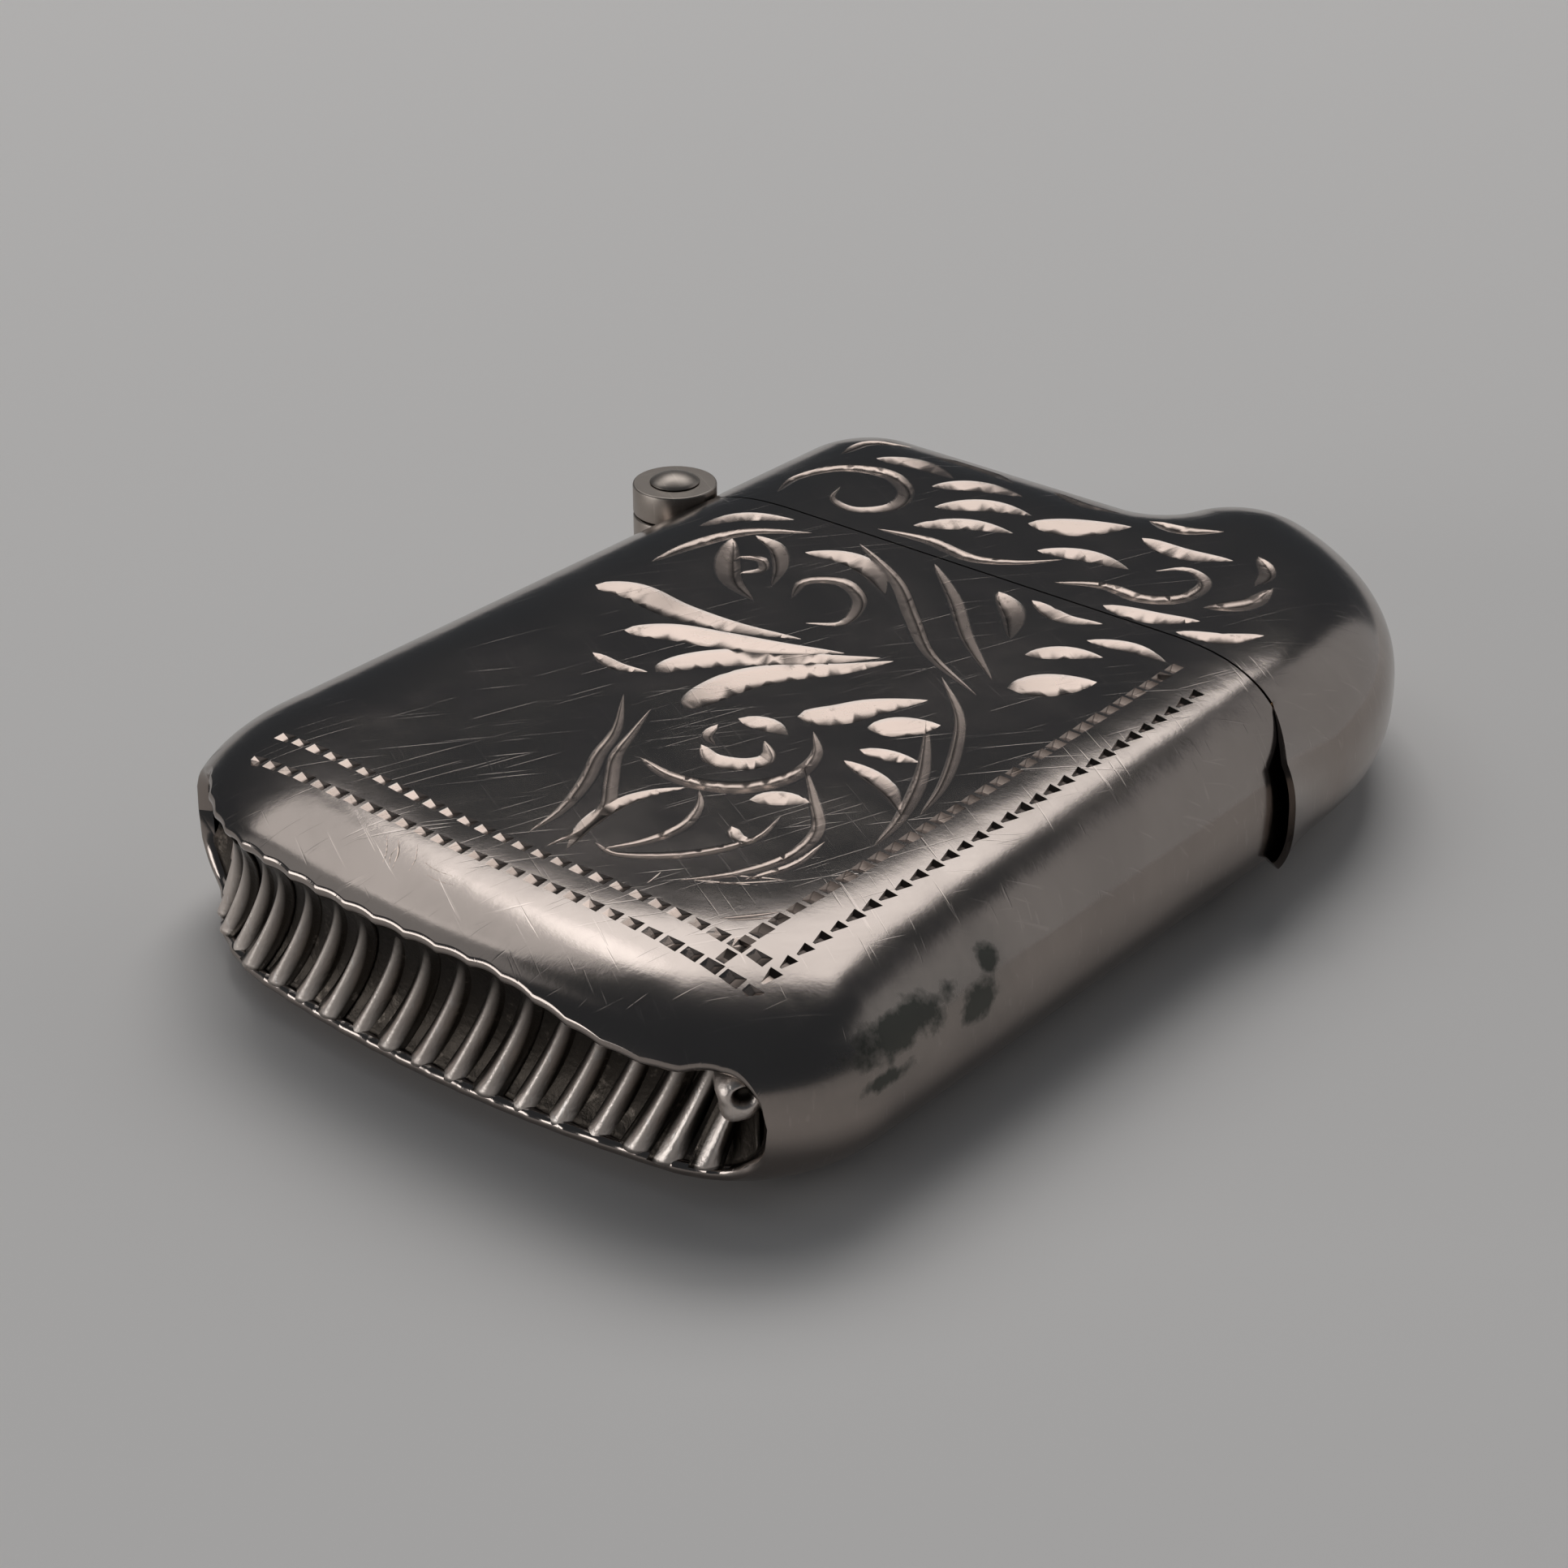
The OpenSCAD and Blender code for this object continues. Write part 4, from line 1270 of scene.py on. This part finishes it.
def stain_group():
    """Ragged blots and a haze round them."""
    tree, given = shader_group("stains", {}, ("Stain", "Haze"))
    ragged = noise(tree, given["Vector"], Scale=1.1, Detail=5.0, Roughness=0.6)
    far = 9.0
    for middle, reach in STAIN_SPOTS:
        away = vector_calc(tree, "SUBTRACT", given["Vector"], middle)
        away = vector_calc(tree, "DIVIDE", away, reach)
        far = calc(tree, "MINIMUM", vector_calc(tree, "LENGTH", away, out="Value"), far)
    edge = calc(tree, "ADD", far, ramp(tree, ragged, 0.25, 0.75, -0.5, 0.5))
    add(tree, "NodeGroupOutput", Stain=ramp(tree, edge, 1.1, 0.6), Haze=ramp(tree, edge, 2.6, 0.9))
    return tree


tarnish, hairlines, stains = tarnish_group(), hairline_group(), stain_group()
print("groups:", tarnish.name, hairlines.name, stains.name)

# %% [markdown]
# ## Materials
# Silver here is a worn metal: a mid grey with a little warmth, softened by many small
# scratches. In the grooves the dirt of years stays, and painted shade darkens the deep end
# of each punch mark. The striker keeps black oxide between its ribs and is rubbed bright
# on their crests, and painted shade darkens the ribs towards their tops. The inside was
# gilt against the matches.


# %% Colours that mix
def mix_colour(tree, factor, a, b):
    made = add(tree, "ShaderNodeMix", data_type="RGBA")
    for index, value in ((0, factor), (6, a), (7, b)):
        feed(tree, made.inputs[index], (*value, 1) if isinstance(value, tuple) else value)
    return made.outputs[2]


def shaded(colour, factor):
    return tuple(min(1, c * factor) for c in colour)


# %% A worn metal
CUT_COLOUR, HAZE_TINT = (0.43, 0.35, 0.305), (3.3, 2.85, 2.94)
WAVE, HAIR_DEEP = 0.03, 0.003
CLOUD_ROUGH, CUT_ROUGH = 0.06, 0.12


def metal(name, bright, dull, rough, mask=None, grime_and_shade=None, stain=None, lines=0.25, grain=0.0):
    """A worn metal. mask names a mesh value: grooves darken by it, with patina in the cuts and
    painted shade in the punch marks, or crests shine by it, with painted shade towards the rib
    tops.
    """
    material = bpy.data.materials.new(name)
    material.use_nodes = True
    tree = material.node_tree
    do, blend, level = (partial(step, tree) for step in (calc, mix_colour, ramp))
    shade = tree.nodes["Principled BSDF"]
    shade.inputs["Metallic"].default_value = 1
    where = add(tree, "ShaderNodeTexCoord").outputs["Object"]
    spot = add(tree, "ShaderNodeVectorMath", operation="SCALE", Vector=where, Scale=1 / MM)
    spot = spot.outputs["Vector"]
    patch = add(tree, "ShaderNodeGroup", node_tree=tarnish, Vector=spot, Scale=0.12).outputs
    hair = add(tree, "ShaderNodeGroup", node_tree=hairlines, Vector=spot, Scale=1.0).outputs[0]
    colour = blend(patch["Cloud"], bright, dull)
    colour = blend(do("MULTIPLY", hair, lines), colour, shaded(bright, 1.5))
    roughness = level(patch["Cloud"], 0.0, 1.0, rough, rough + CLOUD_ROUGH)
    if mask:
        value = add(tree, "ShaderNodeAttribute", attribute_name=mask).outputs["Fac"]
    if mask == "ridge":
        # The dark colour is oxide between the ribs, and painted shade where the ribs darken towards
        # their tops.
        oxide_and_shade = blend(patch["Spots"], grime_and_shade, shaded(grime_and_shade, 4))
        colour = blend(level(value, 0.3, 0.8), oxide_and_shade, colour)
    if mask == "cut":
        fresh = level(value, 0.02, 0.2)
        streaks = blend(patch["Spots"], CUT_COLOUR, shaded(CUT_COLOUR, 0.5))
        # Deep groove floors take the dark colour as patina; in the punch marks it is painted shade.
        colour = blend(level(value, 0.72, 1.0), blend(fresh, colour, streaks), grime_and_shade)
        roughness = do("MULTIPLY_ADD", fresh, CUT_ROUGH, roughness)
    if stain:
        blot = add(tree, "ShaderNodeGroup", node_tree=stains, Vector=spot).outputs
        haze = tuple(c * tint for c, tint in zip(stain, HAZE_TINT))
        colour = blend(do("MULTIPLY", blot["Haze"], 0.6), colour, haze)
        colour = blend(do("MULTIPLY", blot["Stain"], 0.9), colour, stain)
        for label, more in (("Haze", 0.12), ("Stain", 0.2)):
            roughness = do("MULTIPLY_ADD", blot[label], more, roughness)
    swell = noise(tree, spot, Scale=0.28, Detail=2.0)
    bumps = [(swell, 1.0, WAVE, False), (hair, 0.6, HAIR_DEEP, True)]
    if grain:
        pits = noise(tree, spot, Scale=4.0, Detail=4.0, Roughness=0.65)
        bumps.append((pits, 1.0, grain, False))
    normal = {}
    for height, strength, deep, invert in bumps:
        bump = add(tree, "ShaderNodeBump", Strength=strength, Distance=deep * MM, invert=invert,
                   Height=height, **normal)
        normal = {"Normal": bump.outputs["Normal"]}
    for label, value in (("Base Color", colour), ("Roughness", roughness), *normal.items()):
        feed(tree, shade.inputs[label], value)
    return material


# %% Silver and gilt
# Its dark colour is groove patina, and painted shade in the punch marks.
silver = metal("worn_silver_and_pit_shade", (0.345, 0.3, 0.272), (0.3, 0.26, 0.236), 0.13, "cut",
               grime_and_shade=(0.06, 0.047, 0.04), lines=0.2, stain=(0.08, 0.083, 0.073), grain=0.0025)
# Its dark colour also serves as painted shade towards the rib tops.
striker_silver = metal("striker_rubbed_and_painted_shade", (0.8, 0.72, 0.66), (0.66, 0.58, 0.53), 0.36, "ridge",
                       grime_and_shade=(0.045, 0.038, 0.032), grain=0.03)
rim_silver = metal("rubbed_rim", (0.62, 0.55, 0.5), (0.5, 0.44, 0.4), 0.26)
plain_silver = metal("hinge_silver", (0.4, 0.35, 0.31), (0.3, 0.26, 0.23), 0.36)
gilt = metal("gilt_wash", (0.4, 0.27, 0.12), (0.3, 0.2, 0.085), 0.3)
print("materials:", [m.name for m in (silver, striker_silver, rim_silver, plain_silver, gilt)])

# %% [markdown]
# ## Dressing the model
# Each piece stands for its CAD node and rides on the body that the node belongs to. The
# knuckles, the pin and the collar keep their CAD meshes. A small bevel takes the knife edge
# off the hinge.

# %% Pieces take the place of CAD nodes
SHEET_FINISH = (silver, gilt, rim_silver)
PIECES = [
    (body_front, "case", "body_front", SHEET_FINISH),
    (body_back, "case", "body_back", SHEET_FINISH),
    (striker, "case", "striker", (striker_silver,)),
    (lid_front, "lid", "lid_front", SHEET_FINISH),
    (lid_back, "lid", "lid_back", SHEET_FINISH),
    (lip, "lid", "thumb_lip", (silver,)),
]
for piece, body, node, materials in PIECES:
    piece.data.materials.clear()
    for material in materials:
        piece.data.materials.append(material)
    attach(piece, body)
    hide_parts(node)

for node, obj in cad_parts.items():
    if "knuckle" in node or node in ("hinge_pin", "mouth_collar"):
        obj.data.materials.clear()
        obj.data.materials.append(gilt if node == "mouth_collar" else plain_silver)
        weld = obj.modifiers.new("weld", "WELD")
        weld.merge_threshold = 1e-6
        if node != "mouth_collar":
            bevel = obj.modifiers.new("soft_edge", "BEVEL")
            bevel.width = 0.08 * MM
            bevel.segments = 2
            bevel.limit_method = "ANGLE"
            bevel.harden_normals = True
print("pieces:", len(PIECES))

# %% [markdown]
# ## Floor, light and camera
# The case lies on a plain pale table among soft lights. Polished metal shows what is round
# it, so the size and place of each softbox decide which parts look bright: the rounded
# edges see the lights, and the flat face sees the dim room between them. One more softbox
# lights the table alone, because the metal doesn't mirror it.

# %% Floor
FLOOR_HALF = 1.5
floor = object_from("table", [(x * FLOOR_HALF, y * FLOOR_HALF, 0) for x, y in
                              ((-1, -1), (1, -1), (1, 1), (-1, 1))], faces=[(0, 1, 2, 3)])
paper = bpy.data.materials.new("pale_table")
paper.use_nodes = True
paper_shade = paper.node_tree.nodes["Principled BSDF"].inputs
paper_shade["Base Color"].default_value = (0.85, 0.82, 0.795, 1)
paper_shade["Roughness"].default_value = 0.7
floor.data.materials.append(paper)
print("table:", 2 * FLOOR_HALF, "m wide")

# %% Light
SOFTBOXES = [
    # Name, azimuth, elevation, distance, width, height, power, and whether metal mirrors it
    ("softbox_back", 125, 50, 0.7, 0.44, 0.315, 0.91, True),
    ("softbox_left", 166, 49, 0.7, 0.34, 0.285, 0.335, True),
    ("softbox_far_left", 200, 45, 0.7, 0.25, 0.3, 0.085, True),
    ("softbox_right", 65, 21, 0.7, 0.78, 0.6, 0.53, True),
    ("softbox_front", 235, 9, 0.7, 0.45, 0.2, 0.9, True),
    ("softbox_fill", 128, 62, 1.6, 0.9, 0.9, 4.3, False),
]
world = bpy.data.worlds.new("dim_room")
bpy.context.scene.world = world
world.use_nodes = True
world.node_tree.nodes["Background"].inputs["Color"].default_value = (0.053, 0.06, 0.068, 1)


def softbox(name, azimuth, elevation, distance, width, height, power, mirrored):
    """A rectangular light round the case, facing it."""
    lamp = bpy.data.lights.new(name, "AREA")
    lamp.shape = "RECTANGLE"
    lamp.size, lamp.size_y, lamp.energy = width, height, power
    a, e = math.radians(azimuth), math.radians(elevation)
    toward = Vector((math.cos(e) * math.cos(a), math.cos(e) * math.sin(a), math.sin(e)))
    obj = bpy.data.objects.new(name, lamp)
    obj.visible_glossy = mirrored
    obj.location = toward * distance
    obj.rotation_euler = (-toward).to_track_quat("-Z", "Y").to_euler()
    bpy.context.scene.collection.objects.link(obj)


for box in SOFTBOXES:
    softbox(*box)
print("softboxes:", len(SOFTBOXES))

# %% Camera
camera_data = bpy.data.cameras.new("camera")
camera_data.lens, camera_data.sensor_width = 75.03, 36
camera_data.clip_start = 0.005
camera = bpy.data.objects.new("camera", camera_data)
look, right, up = (-0.5577, 0.6785, -0.4780), (0.7725, 0.6350, 0.0), (-0.3035, 0.3693, 0.8783)
place = (0.0746, -0.0859, 0.0678)
rows = [(right[k], up[k], -look[k], place[k]) for k in range(3)]
camera.matrix_world = Matrix(rows + [(0, 0, 0, 1)])
bpy.context.scene.collection.objects.link(camera)
bpy.context.scene.camera = camera
bpy.context.scene.view_settings.view_transform = "Standard"
print("camera at", place)
